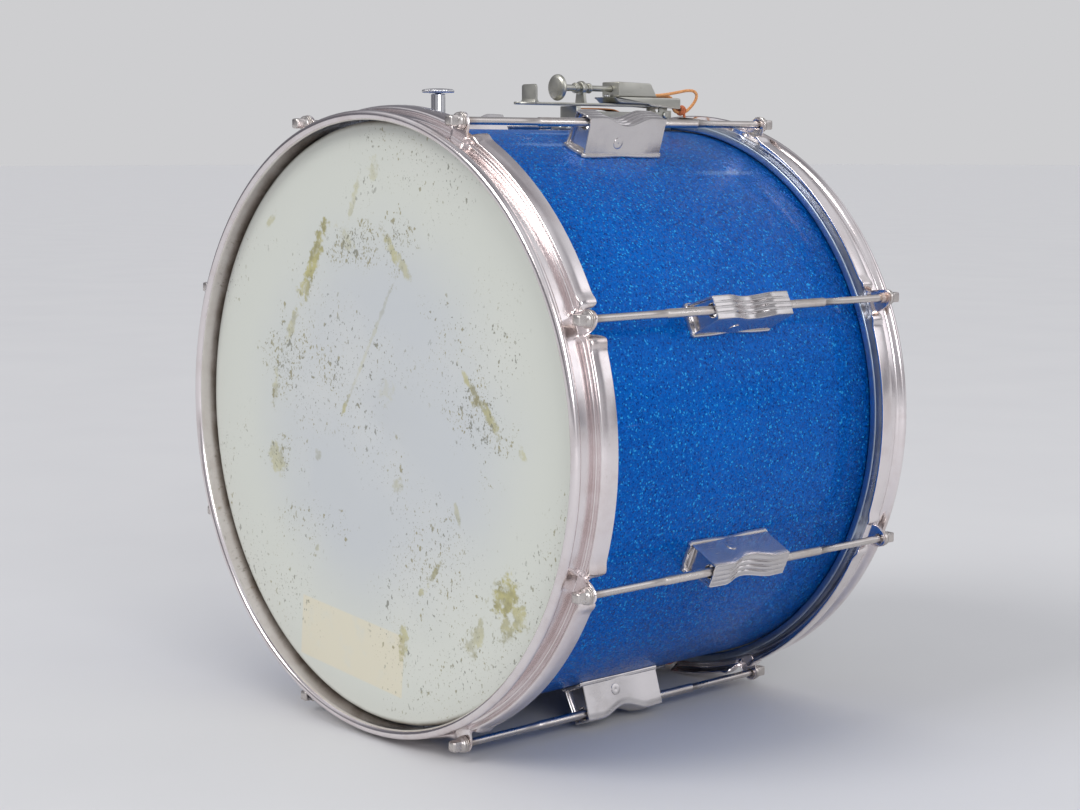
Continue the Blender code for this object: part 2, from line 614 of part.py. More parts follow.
def make_butt_end():
    bracket = place("butt_bracket", box_mesh((-15 * MM, 80 * MM, BUTT_LOW),
                                             (15 * MM, 108 * MM, -WRAP_R - 0.35 * MM)), CHROME)
    bar = place("butt_clamp_bar", box_mesh((-15 * MM, 84 * MM, BUTT_LOW - 5.7 * MM),
                                           (15 * MM, 104 * MM, BUTT_LOW - 2.9 * MM)), CHROME)
    xs = (-BUTT_SCREW_X, BUTT_SCREW_X)
    for piece in (bracket, bar):
        cut(piece, [rod_mesh((x, 94 * MM, -170 * MM), (x, 94 * MM, -200 * MM), 1.8 * MM) for x in xs])
    for k, x in enumerate(xs):
        seat = BUTT_LOW - 5.7 * MM - GAP
        turned(f"butt_screw_{k + 1}",
               [(0, seat - 2.4 * MM), (2.7 * MM, seat - 2.4 * MM), (3.2 * MM, seat - 1.6 * MM),
                (3.2 * MM, seat), (1.5 * MM, seat + 0.1 * MM), (1.5 * MM, -179 * MM), (0, -179 * MM)],
               DULL, "+Z", 12, (x, 94 * MM, 0))


def make_tone_control():
    """Knob outside the shell, and inside it an arm that presses a felt pad on the batter head."""
    turned("muffler_bush", [(MUFFLER_BUSH_R, 199.0 * MM), (MUFFLER_BUSH_R, 171.2 * MM), (7.5 * MM, 171.1 * MM),
                            (7.5 * MM, 169.0 * MM), (2.2 * MM, 169.0 * MM), (2.2 * MM, 199.0 * MM)],
           CHROME, "+Z", 16, (0, MUFFLER_Y, 0))
    turned("muffler_knob", [(0, 202.2 * MM), (6 * MM, 202.1 * MM), (9.3 * MM, 201.5 * MM), (9.9 * MM, 200.6 * MM),
                            (9.3 * MM, 199.6 * MM), (1.9 * MM, 199.4 * MM), (1.9 * MM, 164.8 * MM),
                            (0, 164.8 * MM)], CHROME, "+Z", 20, (0, MUFFLER_Y, 0))
    pivot = hinge("muffler_hinge", (0, *MUFFLER_PIVOT))
    shape = [(-78.0, 159.9), (-78.0, 161.1), (-93.8, 161.1), (-119.0, 132.2), (-119.0, 116.0),
             (-117.8, 116.0), (-117.8, 131.8), (-93.2, 159.9)]
    strip("muffler_arm", [(y * MM, z * MM) for y, z in shape], 6 * MM, DULL, parent=pivot)
    turned("muffler_pad", [(0, 127.4 * MM), (14 * MM, 127.4 * MM), (15 * MM, 126.2 * MM), (15 * MM, 119.4 * MM),
                           (0, 119.4 * MM)], FELT, "-Y", 20, (0, 0, 122 * MM), parent=pivot)


def make_vent():
    turned("vent_grommet", [(VENT_R, 170.6 * MM), (VENT_R, WRAP_R + GAP), (8 * MM, WRAP_R + 0.5 * MM),
                            (7.4 * MM, WRAP_R + 1.5 * MM), (3.6 * MM, WRAP_R + 1.3 * MM),
                            (3.6 * MM, 170.6 * MM)], CHROME, "-X", 16)


make_shell()
make_heads()
make_counterhoops()
make_lugs()
make_tension_rods()
make_strainer_base()
make_strainer_lever()
make_thumbscrew()
make_clamp()
make_snares()
make_butt_end()
make_tone_control()
make_vent()
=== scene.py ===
"""The looks of the parade snare drum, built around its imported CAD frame.

All modelling here is in millimetres from the drum's axis: x across, y along the axis with the batter head
at -y, and z up through the strainer. mesh_of() scales it to metres and piece() lifts it into the frame.
Materials are in the frame's metres.
"""

from math import cos, exp, pi, radians, sin, sqrt

import bmesh
import bpy
from mathutils import Matrix, Vector


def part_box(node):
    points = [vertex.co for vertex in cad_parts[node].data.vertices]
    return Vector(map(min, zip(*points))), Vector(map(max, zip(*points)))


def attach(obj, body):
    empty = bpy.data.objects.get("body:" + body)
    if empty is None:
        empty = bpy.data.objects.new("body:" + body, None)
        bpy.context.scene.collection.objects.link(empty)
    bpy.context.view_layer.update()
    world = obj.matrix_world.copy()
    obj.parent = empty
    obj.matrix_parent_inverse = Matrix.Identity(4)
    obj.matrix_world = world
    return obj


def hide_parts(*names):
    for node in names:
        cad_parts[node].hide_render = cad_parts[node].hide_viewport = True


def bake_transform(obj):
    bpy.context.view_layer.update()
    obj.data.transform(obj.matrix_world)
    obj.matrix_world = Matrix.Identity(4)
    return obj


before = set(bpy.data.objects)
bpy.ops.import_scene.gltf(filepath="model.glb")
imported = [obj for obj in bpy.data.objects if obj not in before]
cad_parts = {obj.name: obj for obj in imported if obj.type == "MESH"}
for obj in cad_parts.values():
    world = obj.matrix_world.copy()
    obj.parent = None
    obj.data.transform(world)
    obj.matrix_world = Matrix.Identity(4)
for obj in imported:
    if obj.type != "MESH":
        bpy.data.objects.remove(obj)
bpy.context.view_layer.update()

MM = 0.001
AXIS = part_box("batter_hoop")[1].x          # the drum's axis stands one hoop radius above the floor


def span(node):
    """Lowest and highest corner of a CAD node, in millimetres from the drum's axis."""
    low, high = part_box(node)
    drop = Vector((0, 0, AXIS))
    return (low - drop) / MM, (high - drop) / MM


# ---- driving dimensions
WRAP_R = span("sparkle_wrap")[1].x
WRAP_HALF = span("sparkle_wrap")[1].y
SHELL_R = span("shell")[1].x
SHELL_HALF = span("shell")[1].y
SHELL_WALL = 5.5
FILM_Y = span("snare_head_film")[1].y
FLESH_OUT = span("batter_flesh_hoop")[1].x
FLESH_TOP = span("snare_flesh_hoop")[1].y
FLESH_LOW = span("snare_flesh_hoop")[0].y
CREST = span("snare_hoop")[1].y
SKIRT_R = span("batter_hoop")[1].x
SKIRT_EDGE = span("snare_hoop")[0].y
ROD_CIRCLE = 196.5                         # radius on which the rods stand
ROD_HOLE = 3.2                             # radius of their holes in the hoops
ROD_TIP = span("snare_rod_1")[1].y
ROD_INNER = span("snare_rod_1")[0].y
LUG_ANGLES = [22.5 + 45 * k for k in range(8)]
HEEL = WRAP_R + 0.3                        # lugs stand this far from the axis
LUG_HALF = 31.6
SOCKET_DEEP = 12.0                         # how near to the middle the rods' bores run
PLATE_HALF = span("lug_1")[1].y
SCREW_Z = (span("thumbscrew")[0].z + span("thumbscrew")[1].z) / 2
DECK_LOW, DECK_TOP = 193.8, 195.4
MUFFLER_Y = (span("muffler_knob")[0].y + span("muffler_knob")[1].y) / 2


# ---- materials
def screen(red, green, blue):
    """A colour as a screen shows it, 0 to 255, in the linear values that shaders take."""
    def linear(value):
        share = value / 255
        return share / 12.92 if share <= 0.04045 else ((share + 0.055) / 1.055) ** 2.4
    return (linear(red), linear(green), linear(blue), 1.0)


class Nodes:
    """A node tree being put together. Each method adds a node and returns its output."""

    def __init__(self, tree):
        self.tree = tree

    def feed(self, socket, value):
        if isinstance(value, bpy.types.NodeSocket):
            self.tree.links.new(value, socket)
        elif value is not None:
            socket.default_value = value

    def node(self, kind, output=None, inputs=(), **settings):
        new = self.tree.nodes.new("ShaderNode" + kind)
        for name, value in settings.items():
            setattr(new, name, value)
        for name, value in dict(inputs).items():
            self.feed(new.inputs[name], value)
        return new if output is None else new.outputs[output]

    def noise(self, scale, detail=3.0, roughness=0.5, where=None, distortion=0.0):
        return self.node("TexNoise", "Fac", {"Vector": where or self.where, "Scale": scale, "Detail": detail,
                                             "Roughness": roughness, "Distortion": distortion})

    def math(self, operation, a, b=None):
        return self.node("Math", 0, {0: a, 1: b}, operation=operation)

    def times(self, a, b):
        return self.math("MULTIPLY", a, b)

    def plus(self, a, b):
        return self.math("ADD", a, b)

    def most(self, a, b):
        return b if a is None else self.math("MAXIMUM", a, b)

    def vector(self, operation, a, b=None, output="Vector"):
        return self.node("VectorMath", output, {0: a, 1: b}, operation=operation)

    def split(self, vector):
        return self.node("SeparateXYZ", inputs={0: vector}).outputs

    def ease(self, value, low, high, out_low=0.0, out_high=1.0):
        return self.node("MapRange", 0, {"Value": value, "From Min": low, "From Max": high, "To Min": out_low,
                                         "To Max": out_high}, interpolation_type="SMOOTHSTEP")


class Finish(Nodes):
    """A material over the drum's own coordinates."""

    def __init__(self, name, **settings):
        self.name = name
        self.material = bpy.data.materials.new(name)
        self.material.use_nodes = True
        super().__init__(self.material.node_tree)
        self.shader = self.tree.nodes["Principled BSDF"]
        self.where = self.node("TexCoord", "Object")
        self.set(**settings)

    def set(self, **settings):
        for name, value in settings.items():
            self.feed(self.shader.inputs[name.replace("_", " ")], value)

    def cells(self, scale):
        return self.node("TexVoronoi", "Color", {"Vector": self.where, "Scale": scale})

    def stretch(self, factors, where=None):
        return self.vector("MULTIPLY", where or self.where, factors)

    def from_axis(self):
        """x and z from the drum's axis, and the distance from it."""
        x, y, z = self.split(self.vector("SUBTRACT", self.where, (0, 0, AXIS)))
        return x, z, self.math("SQRT", self.plus(self.times(x, x), self.times(z, z)))

    def mapped(self, place, half, angle, flat=True):
        """Coordinates that reach 1 at the sides of an area. Flat leaves out y, as on a head."""
        x, y, z = place
        spot = {"Vector": self.stretch((1, 0, 1)) if flat else self.where,
                "Location": (x * MM, 0 if flat else y * MM, z * MM + AXIS), "Rotation": (0, radians(-angle), 0),
                "Scale": (half[0] * MM, 1 if flat else 0.03, half[1] * MM)}
        return self.node("Mapping", 0, spot, vector_type="TEXTURE")

    def mix(self, share, a, b):
        """A blend of two colours, each a socket or the colour as a screen shows it."""
        a, b = [colour if isinstance(colour, bpy.types.NodeSocket) else screen(*colour) for colour in (a, b)]
        return self.node("Mix", 2, {0: share, 6: a, 7: b}, data_type="RGBA")

    def bump(self, height, distance, strength=1.0):
        return self.node("Bump", "Normal", {"Height": height, "Distance": distance, "Strength": strength})


def plated(name, colour, stain, roughness, stain_amount=0.5, grime=0.35, pitting=0.00004, metal=1.0):
    """Old bright plating: clouded, a little stained, with fine pits and scratches."""
    f = Finish(name, Metallic=metal)
    cloud = f.noise(28, 5, 0.6)
    spots = f.noise(330, 4, 0.7)
    mask = f.times(f.ease(cloud, 0.47, 0.72), stain_amount)
    specks = f.times(f.ease(spots, 0.60, 0.74), grime)
    shade = f.mix(f.most(mask, specks), colour, stain)
    scratches = f.noise(1800, 2, 0.6, f.stretch((1, 0.04, 1)))
    rough = f.plus(f.ease(cloud, 0.35, 0.75, roughness, roughness + 0.16),
                   f.ease(scratches, 0.5, 0.8, 0.0, 0.10))
    f.set(Base_Color=shade, Roughness=rough, Normal=f.bump(spots, pitting, 0.6))
    return f


def hoop_chrome():
    """Chromed steel with a brown bloom in a band round each rod's ear."""
    f = Finish("hoop_chrome", Metallic=1.0)
    x, z, radius = f.from_axis()
    turn = f.times(f.math("ARCTAN2", z, x), 180 / pi)
    off = f.math("PINGPONG", f.math("SUBTRACT", turn, LUG_ANGLES[0]), 22.5)
    cloud = f.noise(45, 5, 0.65)
    fine = f.noise(420, 4, 0.7)
    near = f.times(f.ease(off, 5.5, 0.8), f.ease(radius, 0.1862, 0.1915))
    bloom = f.times(near, f.ease(cloud, 0.42, 0.66))
    dull = f.times(f.ease(fine, 0.60, 0.74), 0.22)
    base = f.mix(f.ease(cloud, 0.40, 0.68), (238, 231, 231), (228, 218, 217))
    base = f.mix(dull, base, (176, 164, 154))
    base = f.mix(f.times(bloom, 0.55), base, (168, 134, 98))
    rough = f.plus(f.ease(cloud, 0.38, 0.72, 0.15, 0.20), f.times(bloom, 0.2))
    f.set(Base_Color=base, Roughness=rough, Normal=f.bump(fine, 0.000003, 0.3))
    return f


def sparkle():
    """Glitter under a clear sheet: each flake tilts its own way, and the sheet on top is smooth."""
    f = Finish("blue_sparkle", Metallic=0.35, Coat_Weight=0.13, Coat_Roughness=0.09, Coat_IOR=1.45,
               Specular_IOR_Level=0.04)
    flakes = f.cells(1050)
    fine = f.cells(1900)
    spread = f.split(flakes)[0]
    second = f.split(fine)[1]
    cloud = f.noise(14, 3, 0.5)
    deep = f.mix(f.ease(cloud, 0.3, 0.7), (0, 78, 166), (0, 88, 180))
    base = f.mix(f.ease(spread, 0.25, 1.0, 0.0, 0.45), deep, (0, 116, 214))
    base = f.mix(f.ease(second, 0.80, 0.98, 0.0, 0.40), base, (16, 140, 232))
    base = f.mix(f.ease(spread, 0.92, 0.99, 0.0, 0.6), base, (60, 186, 246))
    base = f.mix(f.ease(spread, 0.16, 0.03, 0.0, 0.65), base, (0, 38, 112))
    tilt = f.vector("SUBTRACT", flakes, (0.5, 0.5, 0.5))
    flat = f.node("NewGeometry", "Normal")
    facing = f.vector("NORMALIZE", f.vector("ADD", flat, f.stretch((0.6, 0.6, 0.6), tilt)))
    rub = f.noise(900, 3, 0.6, f.stretch((0.25, 1.0, 0.12)))
    scuff = None
    for place, size, angle in SCUFFS:
        scuff = f.most(scuff, smear_mask(f, place, size, angle, rub, 1.6, flat=False))
    hairline = f.times(f.ease(f.noise(1500, 2, 0.6, f.stretch((1, 0.02, 0.5))), 0.67, 0.72),
                      f.ease(f.noise(9, 2, 0.5), 0.52, 0.68, 0.0, 0.14))
    base = f.mix(f.most(f.times(scuff, 0.4), hairline), base, (150, 176, 214))
    uneven = f.plus(f.ease(f.noise(120, 3, 0.6), 0.4, 0.75, 0.28, 0.38), f.times(scuff, 0.3))
    f.set(Base_Color=base, Normal=facing, Coat_Normal=flat, Roughness=uneven)
    return f


def smear_mask(f, place, size, angle, rag, ragged, soft=0.45, flat=True):
    """1 inside an ellipse with a ragged outline. Place and half sizes are in millimetres."""
    reach = f.vector("LENGTH", f.mapped(place, size, angle, flat), output="Value")
    rough_edge = f.plus(reach, f.times(f.math("SUBTRACT", rag, 0.5), -2 * ragged))
    return f.ease(rough_edge, 1.0, 1.0 - soft)


# Smears on the batter head: x, z, half length, half width, angle of the length above +x, strength
OLIVE = [
    (-63, 103, 27, 4.6, 61, 1.0), (-76, 79, 12, 5.0, 58, 0.9), (-90, 56, 17, 2.8, 62, 0.6),
    (-110, 13, 13, 3.2, 80, 0.6), (-109, -32, 12, 7.5, -50, 0.6), (-31, 112, 13, 4.5, -48, 0.5),
    (12, 109, 13, 3.4, -52, 0.75), (25, 97, 11, 2.8, -50, 0.6), (-112, 121, 9, 2.4, 35, 0.55),
    (-3, 154, 8, 4.5, 70, 0.4), (-24, 134, 16, 2.0, 68, 0.45), (84, 34, 10, 1.7, -50, 0.7),
    (92, 23, 5, 3.5, -60, 0.75), (105, 13, 15, 2.6, -52, 0.85), (132, -3, 6, 2.2, -60, 0.6),
    (19, -34, 6, 3.4, 10, 0.45), (-64, -24, 4, 4, 0, 0.4), (74, -44, 8, 1.9, -70, 0.5),
    (116, -86, 17, 8.0, 48, 1.0), (129, -97, 10, 6.5, 75, 0.8), (118, -105, 9, 5.0, 60, 0.75),
    (92, -113, 14, 4.5, 62, 0.6), (86, -121, 7, 5.0, 20, 0.55), (22, -131, 13, 4.2, 86, 0.75),
    (52, -84, 13, 1.8, 52, 0.85), (40, -96, 4, 1.8, 40, 0.7), (-35, 8, 8, 1.7, 62, 0.8),
    (8, 22, 9, 5, 40, 0.22), (-20, 30, 7, 1.2, 65, 0.35), (-66, -84, 3, 1.6, 60, 0.5),
    (-8, 50, 58, 1.3, 57.6, 0.32), (-34, 9, 12, 1.5, 60, 0.7), (95, 23, 26, 1.9, -46, 0.8)]
# Clouds of grey specks: x, z, half length, half width, angle, how many of the specks show
SPECKLED = [
    (-25, 108, 42, 18, 0, 1.0), (-98, 34, 32, 36, 0, 0.85), (-45, 28, 24, 16, -20, 0.8),
    (92, 14, 44, 36, -50, 0.75), (60, -70, 60, 34, 25, 0.6), (-70, -70, 60, 22, 5, 0.35),
    (70, 62, 45, 24, -30, 0.35), (-108, -30, 24, 20, 0, 0.7), (20, 110, 22, 26, -50, 0.7)]
# Places where the covering is rubbed pale
SCUFFS = [((94, 74, 151), (9, 3.0), 35), ((58, -41, 168.5), (7, 2.4), 20), ((31, -12, 175.5), (5, 1.6), 8)]


def coated_film():
    """Coated drum film, painted darker in the middle as shade, with olive smears, specks and a pale patch, and
    a painted shadow ring at its rim.
    """
    f = Finish("coated_film", Roughness=0.5, Specular_IOR_Level=0.35)
    radius = f.from_axis()[2]
    cloud = f.noise(9, 4, 0.55)
    rag = f.noise(190, 5, 0.68)
    coarse = f.noise(60, 4, 0.6)
    # Painted shade: the film is painted greyer towards the middle, standing in for the lamps' falloff across
    # the head.
    uneven = f.ease(f.plus(radius, f.times(cloud, 0.05)), 0.175, 0.095)
    base = f.mix(uneven, (199, 202, 195), (188, 192, 195))
    base = f.mix(f.ease(cloud, 0.45, 0.75, 0.0, 0.35), base, (206, 207, 202))
    patch = f.times(box_mask(f, (-31, 0, -141), (53, 19.5), -5.0), 0.95)
    base = f.mix(patch, base, (208, 203, 184))
    smudge = None
    for x, z, length, width, angle, strength in OLIVE:
        mark = smear_mask(f, (x, 0, z), (length, width * 1.35), angle, rag, 1.5, 0.55)
        smudge = f.most(smudge, f.times(mark, strength))
    broken = f.times(smudge, f.ease(rag, 0.34, 0.56, 0.55, 1.0))
    olive = f.mix(f.ease(coarse, 0.35, 0.65), (176, 170, 112), (126, 121, 80))
    base = f.mix(f.times(broken, 0.88), base, olive)
    zones = None
    for x, z, length, width, angle, share in SPECKLED:
        zone = smear_mask(f, (x, 0, z), (length, width), angle, coarse, 1.2, 0.7)
        zones = f.most(zones, f.times(zone, share))
    zones = f.most(zones, f.times(f.ease(cloud, 0.40, 0.62), 0.30))
    specks = None
    for scale, low in ((210, 0.622), (400, 0.620), (760, 0.630)):
        grit = f.noise(scale, 2.5, 0.6, f.stretch((1.0, 0, 0.72)))
        reach = f.plus(grit, f.times(zones, 0.085))
        dot = f.times(f.ease(reach, low + 0.03, low + 0.075), f.ease(zones, 0.05, 0.3))
        specks = f.most(specks, dot)
    tint = f.mix(f.ease(coarse, 0.42, 0.6), (116, 117, 107), (140, 134, 100))
    base = f.mix(f.times(specks, 0.8), base, tint)
    # Painted shadow: a dark ring painted at the film's rim, where the gap between film and hoop lies in shade.
    ring = f.times(f.ease(radius, 0.1785, 0.1824), f.ease(coarse, 0.2, 0.7, 0.5, 1.0))
    base = f.mix(ring, base, (112, 106, 92))
    grain = f.noise(1600, 3, 0.6)
    f.set(Base_Color=base, Roughness=f.ease(broken, 0, 1, 0.50, 0.36),
          Normal=f.bump(f.plus(f.times(grain, 0.5), cloud), 0.00012, 0.35))
    return f


def box_mask(f, place, half, angle):
    """1 inside a rectangle on the head, with a soft worn edge."""
    x, y, z = f.split(f.mapped(place, half, angle))
    across = f.ease(f.math("ABSOLUTE", x), 1.01, 0.985)
    along = f.ease(f.math("ABSOLUTE", z), 1.03, 0.955)
    return f.times(f.times(across, along), f.ease(f.noise(70, 3, 0.6), 0.25, 0.5, 0.6, 1.0))


def clear_film():
    """Thin hazy film, a little see-through."""
    f = Finish("thin_film", Alpha=0.82)
    haze = f.noise(14, 4, 0.6)
    f.set(Base_Color=f.mix(haze, (206, 207, 198), (226, 225, 218)),
          Roughness=f.ease(haze, 0.3, 0.7, 0.26, 0.42), Normal=f.bump(haze, 0.0002, 0.3))
    return f


def ply():
    """Shell plies seen on edge, and birch grain on the faces."""
    f = Finish("birch_ply", Roughness=0.5)
    radius = f.from_axis()[2]
    two_plies = 0.0022
    layer = f.math("GREATER_THAN", f.math("FRACT", f.times(radius, 1 / two_plies)), 0.5)
    grain = f.noise(55, 5, 0.65, f.stretch((3, 0.25, 3)), 0.6)
    base = f.mix(f.ease(grain, 0.35, 0.65), (198, 160, 112), (172, 128, 82))
    base = f.mix(f.times(layer, 0.35), base, (138, 96, 58))
    f.set(Base_Color=base, Roughness=f.ease(grain, 0.3, 0.7, 0.42, 0.6), Normal=f.bump(grain, 0.0001, 0.4))
    return f


def fibre(name, light, dark, scale=1500):
    """Twisted yarn: the tone varies from hair to hair."""
    f = Finish(name, Roughness=0.85, Sheen_Weight=0.25, Sheen_Roughness=0.5)
    hair = f.noise(scale, 4, 0.65)
    tone = f.noise(scale / 12, 3, 0.5)
    base = f.mix(f.ease(hair, 0.35, 0.68), dark, light)
    base = f.mix(f.ease(tone, 0.5, 0.75, 0.0, 0.35), base, [v * 0.75 for v in dark])
    f.set(Base_Color=base, Normal=f.bump(hair, 0.00025, 0.8))
    return f


CHROME = hoop_chrome()
BRIGHT = plated("bright_chrome", (226, 226, 228), (168, 158, 146), 0.10, 0.25, 0.2)
CAST = plated("lug_chrome", (208, 204, 204), (166, 160, 154), 0.09, 0.3, 0.15, 0.000006, 0.92)
ROD = plated("rod_nickel", (206, 200, 196), (138, 114, 92), 0.24, 0.5, 0.4, 0.00005)
DULL = plated("strainer_nickel", (190, 189, 180), (150, 145, 128), 0.32, 0.5, 0.25, 0.00004)
ALLOY = plated("flesh_hoop_alloy", (176, 188, 202), (120, 124, 128), 0.26, 0.4, 0.3)
BRASS = plated("spring_brass", (206, 140, 92), (120, 70, 44), 0.28, 0.6, 0.3)
WIRE = plated("snare_wire", (190, 188, 182), (120, 110, 96), 0.28, 0.4, 0.3)
SPARKLE = sparkle()
FILM = coated_film()
CLEAR = clear_film()
PLY = ply()
TAN = fibre("tan_cord", (240, 180, 120), (190, 120, 66))
ORANGE = fibre("orange_cord", (222, 128, 80), (170, 84, 46))
FELT = fibre("grey_felt", (150, 148, 142), (104, 102, 98), 900)


# ---- mesh helpers
def fillet(points, radii, steps=4, closed=True):
    """Round each corner of an outline. Radii is one number, or one for each corner."""
    count = len(points)
    radii = [radii] * count if isinstance(radii, (int, float)) else radii
    out = []
    for k, point in enumerate(points):
        here = Vector(point)
        if not closed and k in (0, count - 1):
            out.append(tuple(here))
            continue
        before = Vector(points[k - 1]) - here
        after = Vector(points[(k + 1) % count]) - here
        reach = min(radii[k], 0.48 * before.length, 0.48 * after.length)
        start, end = here + before.normalized() * reach, here + after.normalized() * reach
        for j in range(steps + 1):
            t = j / steps
            out.append(tuple(start * (1 - t) ** 2 + here * 2 * t * (1 - t) + end * t * t))
    return out


def skin(bm, rings, loop=False):
    """Faces through rings of equally many points. Loop joins the last ring to the first."""
    rows = [[bm.verts.new(point) for point in ring] for ring in rings]
    for row, following in zip(rows, rows[1:] + (rows[:1] if loop else [])):
        for k in range(len(row)):
            j = (k + 1) % len(row)
            bm.faces.new((row[k], row[j], following[j], following[k]))
    if not loop:
        bm.faces.new(rows[0])
        bm.faces.new(rows[-1])


def lathe(bm, profile, steps, direction="+Z", centre=(0, 0, 0), squash=None):
    """Turn a closed outline of (radius, height) about an axis through centre."""
    turn = Vector({"X": (1, 0, 0), "Y": (0, 1, 0), "Z": (0, 0, 1)}[direction[1]])
    turn *= 1 if direction[0] == "+" else -1
    matrix = Matrix.Translation(centre) @ turn.to_track_quat("Z", "Y").to_matrix().to_4x4()
    rings = []
    for k in range(steps):
        a = 2 * pi * k / steps
        ring = []
        for radius, height in profile:
            grown = radius if squash is None else squash(radius, height, a)
            ring.append(matrix @ Vector((grown * cos(a), grown * sin(a), height)))
        rings.append(ring)
    skin(bm, rings, loop=True)


def slab(bm, outline, low, high, plane, edge):
    """An outline extruded from low to high across its plane, its rims rounded by edge."""
    order = {"XY": lambda a, b, c: (a, b, c), "XZ": lambda a, b, c: (a, c, b),
             "YZ": lambda a, b, c: (c, a, b)}[plane]
    area = sum(a[0] * b[1] - b[0] * a[1] for a, b in zip(outline, outline[1:] + outline[:1]))
    inward = []
    for k in range(len(outline)):
        run = Vector(outline[(k + 1) % len(outline)]) - Vector(outline[k - 1])
        inward.append(Vector((-run.y, run.x)).normalized() * (1 if area > 0 else -1))
    levels = [(low, edge), (low + 0.3 * edge, 0.3 * edge), (low + edge, 0), (high - edge, 0),
              (high - 0.3 * edge, 0.3 * edge), (high, edge)]
    rings = []
    for level, inset in levels:
        rings.append([order(p[0] + n.x * inset, p[1] + n.y * inset, level) for p, n in zip(outline, inward)])
    skin(bm, rings)


def block(bm, low, high, edge):
    """A box with rounded edges."""
    corners = [(low[0], low[1]), (high[0], low[1]), (high[0], high[1]), (low[0], high[1])]
    slab(bm, fillet(corners, edge * 1.4, 3), low[2], high[2], "XY", edge)


def curve_through(points, count):
    """Points spaced evenly along a Catmull-Rom curve through the given ones."""
    knots = [Vector(p) for p in points]
    knots = [2 * knots[0] - knots[1]] + knots + [2 * knots[-1] - knots[-2]]
    fine = []
    for a, b, c, d in zip(knots, knots[1:], knots[2:], knots[3:]):
        for k in range(12):
            t = k / 12
            fine.append(0.5 * (2 * b + (c - a) * t + (2 * a - 5 * b + 4 * c - d) * t ** 2
                               + (3 * b - a - 3 * c + d) * t ** 3))
    fine.append(knots[-2])
    run = [0.0]
    for a, b in zip(fine, fine[1:]):
        run.append(run[-1] + (b - a).length)
    route, k = [], 0
    for step in range(count):
        want = run[-1] * step / (count - 1)
        while k < len(run) - 2 and run[k + 1] < want:
            k += 1
        share = (want - run[k]) / (run[k + 1] - run[k])
        route.append(fine[k].lerp(fine[k + 1], min(share, 1.0)))
    return route


def sweep(bm, route, section, sides=18):
    """A tube along a route. section(distance, angle) gives its radius."""
    side = (route[1] - route[0]).normalized().orthogonal().normalized()
    rings, run = [], 0.0
    for k, point in enumerate(route):
        ahead = route[min(k + 1, len(route) - 1)] - route[max(k - 1, 0)]
        tangent = ahead.normalized()
        side = (side - tangent * side.dot(tangent)).normalized()
        other = tangent.cross(side)
        if k:
            run += (point - route[k - 1]).length
        ring = []
        for j in range(sides):
            a = 2 * pi * j / sides
            ring.append(point + (side * cos(a) + other * sin(a)) * section(run, a))
        rings.append(ring)
    skin(bm, rings)


def twisted(radius, lay, strands=3):
    """The outline of a laid cord: strands that wind once in every lay."""
    def section(run, angle):
        around = (angle * strands / (2 * pi) - run * strands / lay) % 1.0
        return radius * (0.80 + 0.20 * sqrt(max(0.0, sin(pi * around))))
    return section


def mesh_of(bm, name, angle=32):
    """The finished mesh in metres, sharp where faces meet at more than the angle."""
    bmesh.ops.remove_doubles(bm, verts=bm.verts, dist=1e-4)
    bmesh.ops.delete(bm, geom=[edge for edge in bm.edges if not edge.link_faces], context="EDGES")
    bmesh.ops.recalc_face_normals(bm, faces=bm.faces)
    mesh = bpy.data.meshes.new(name)
    bm.to_mesh(mesh)
    bm.free()
    mesh.transform(Matrix.Diagonal((MM, MM, MM, 1)))
    mesh.shade_smooth()
    mesh.set_sharp_from_angle(angle=radians(angle))
    return mesh


def linked(name, data):
    """A new object in the scene."""
    obj = bpy.data.objects.new(name, data)
    bpy.context.collection.objects.link(obj)
    return obj


def combined(mesh, steps, angle=32):
    """A mesh after Boolean steps of (operation, build function)."""
    obj = linked("work", mesh)
    tools = []
    for operation, build in steps:
        bm = bmesh.new()
        build(bm)
        step = obj.modifiers.new(operation, "BOOLEAN")
        step.operation = operation
        step.object = linked("tool", mesh_of(bm, "tool"))
        tools.append(step.object)
    bpy.context.view_layer.update()
    graph = bpy.context.evaluated_depsgraph_get()
    result = bpy.data.meshes.new_from_object(obj.evaluated_get(graph))
    for used in tools + [obj]:
        bpy.data.objects.remove(used, do_unlink=True)
    result.shade_smooth()
    result.set_sharp_from_angle(angle=radians(angle))
    return result


def turned(profile, steps, direction="+Z", centre=(0, 0, 0), squash=None):
    """A build function that turns a profile."""
    return lambda bm: lathe(bm, profile, steps, direction, centre, squash)


def bore(radius, low, high, direction="+Z", centre=(0, 0, 0), sides=24):
    """A Boolean step: a round hole drilled along an axis."""
    return "DIFFERENCE", turned([(0, low), (0, high), (radius, high), (radius, low)], sides, direction, centre)


def pocket(low, high, edge):
    """A Boolean step: a box cut away."""
    return "DIFFERENCE", lambda bm: block(bm, low, high, edge)


def piece(name, mesh, finish, node=None, body="root", turn=0.0, shift=(0, 0, 0)):
    """Put a mesh on the drum in the place of the CAD node it stands for, riding on a body.

    For a cord, body may be a tuple of the two bodies it joins and the points where it leaves each of them; such
    a piece is attached to neither, and its place is baked into its mesh."""
    obj = linked(name, mesh)
    if not mesh.materials:
        mesh.materials.append(finish.material)
    obj.matrix_world = (Matrix.Translation(Vector(shift) * MM + Vector((0, 0, AXIS)))
                        @ Matrix.Rotation(turn, 4, "Y"))
    if turn == 0.0 and tuple(shift) == (0, 0, 0):
        mesh.transform(obj.matrix_world)
        obj.matrix_world = Matrix.Identity(4)
    if isinstance(body, str):
        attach(obj, body)
    else:
        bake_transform(obj)
    if node:
        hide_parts(node)


def made(name, build, finish, node=None, body="root", steps=(), angle=32):
    """Build a piece, take its Boolean steps, and put it on the drum."""
    bm = bmesh.new()
    build(bm)
    mesh = mesh_of(bm, name, angle)
    if steps:
        mesh = combined(mesh, steps, angle)
    piece(name, mesh, finish, node, body)


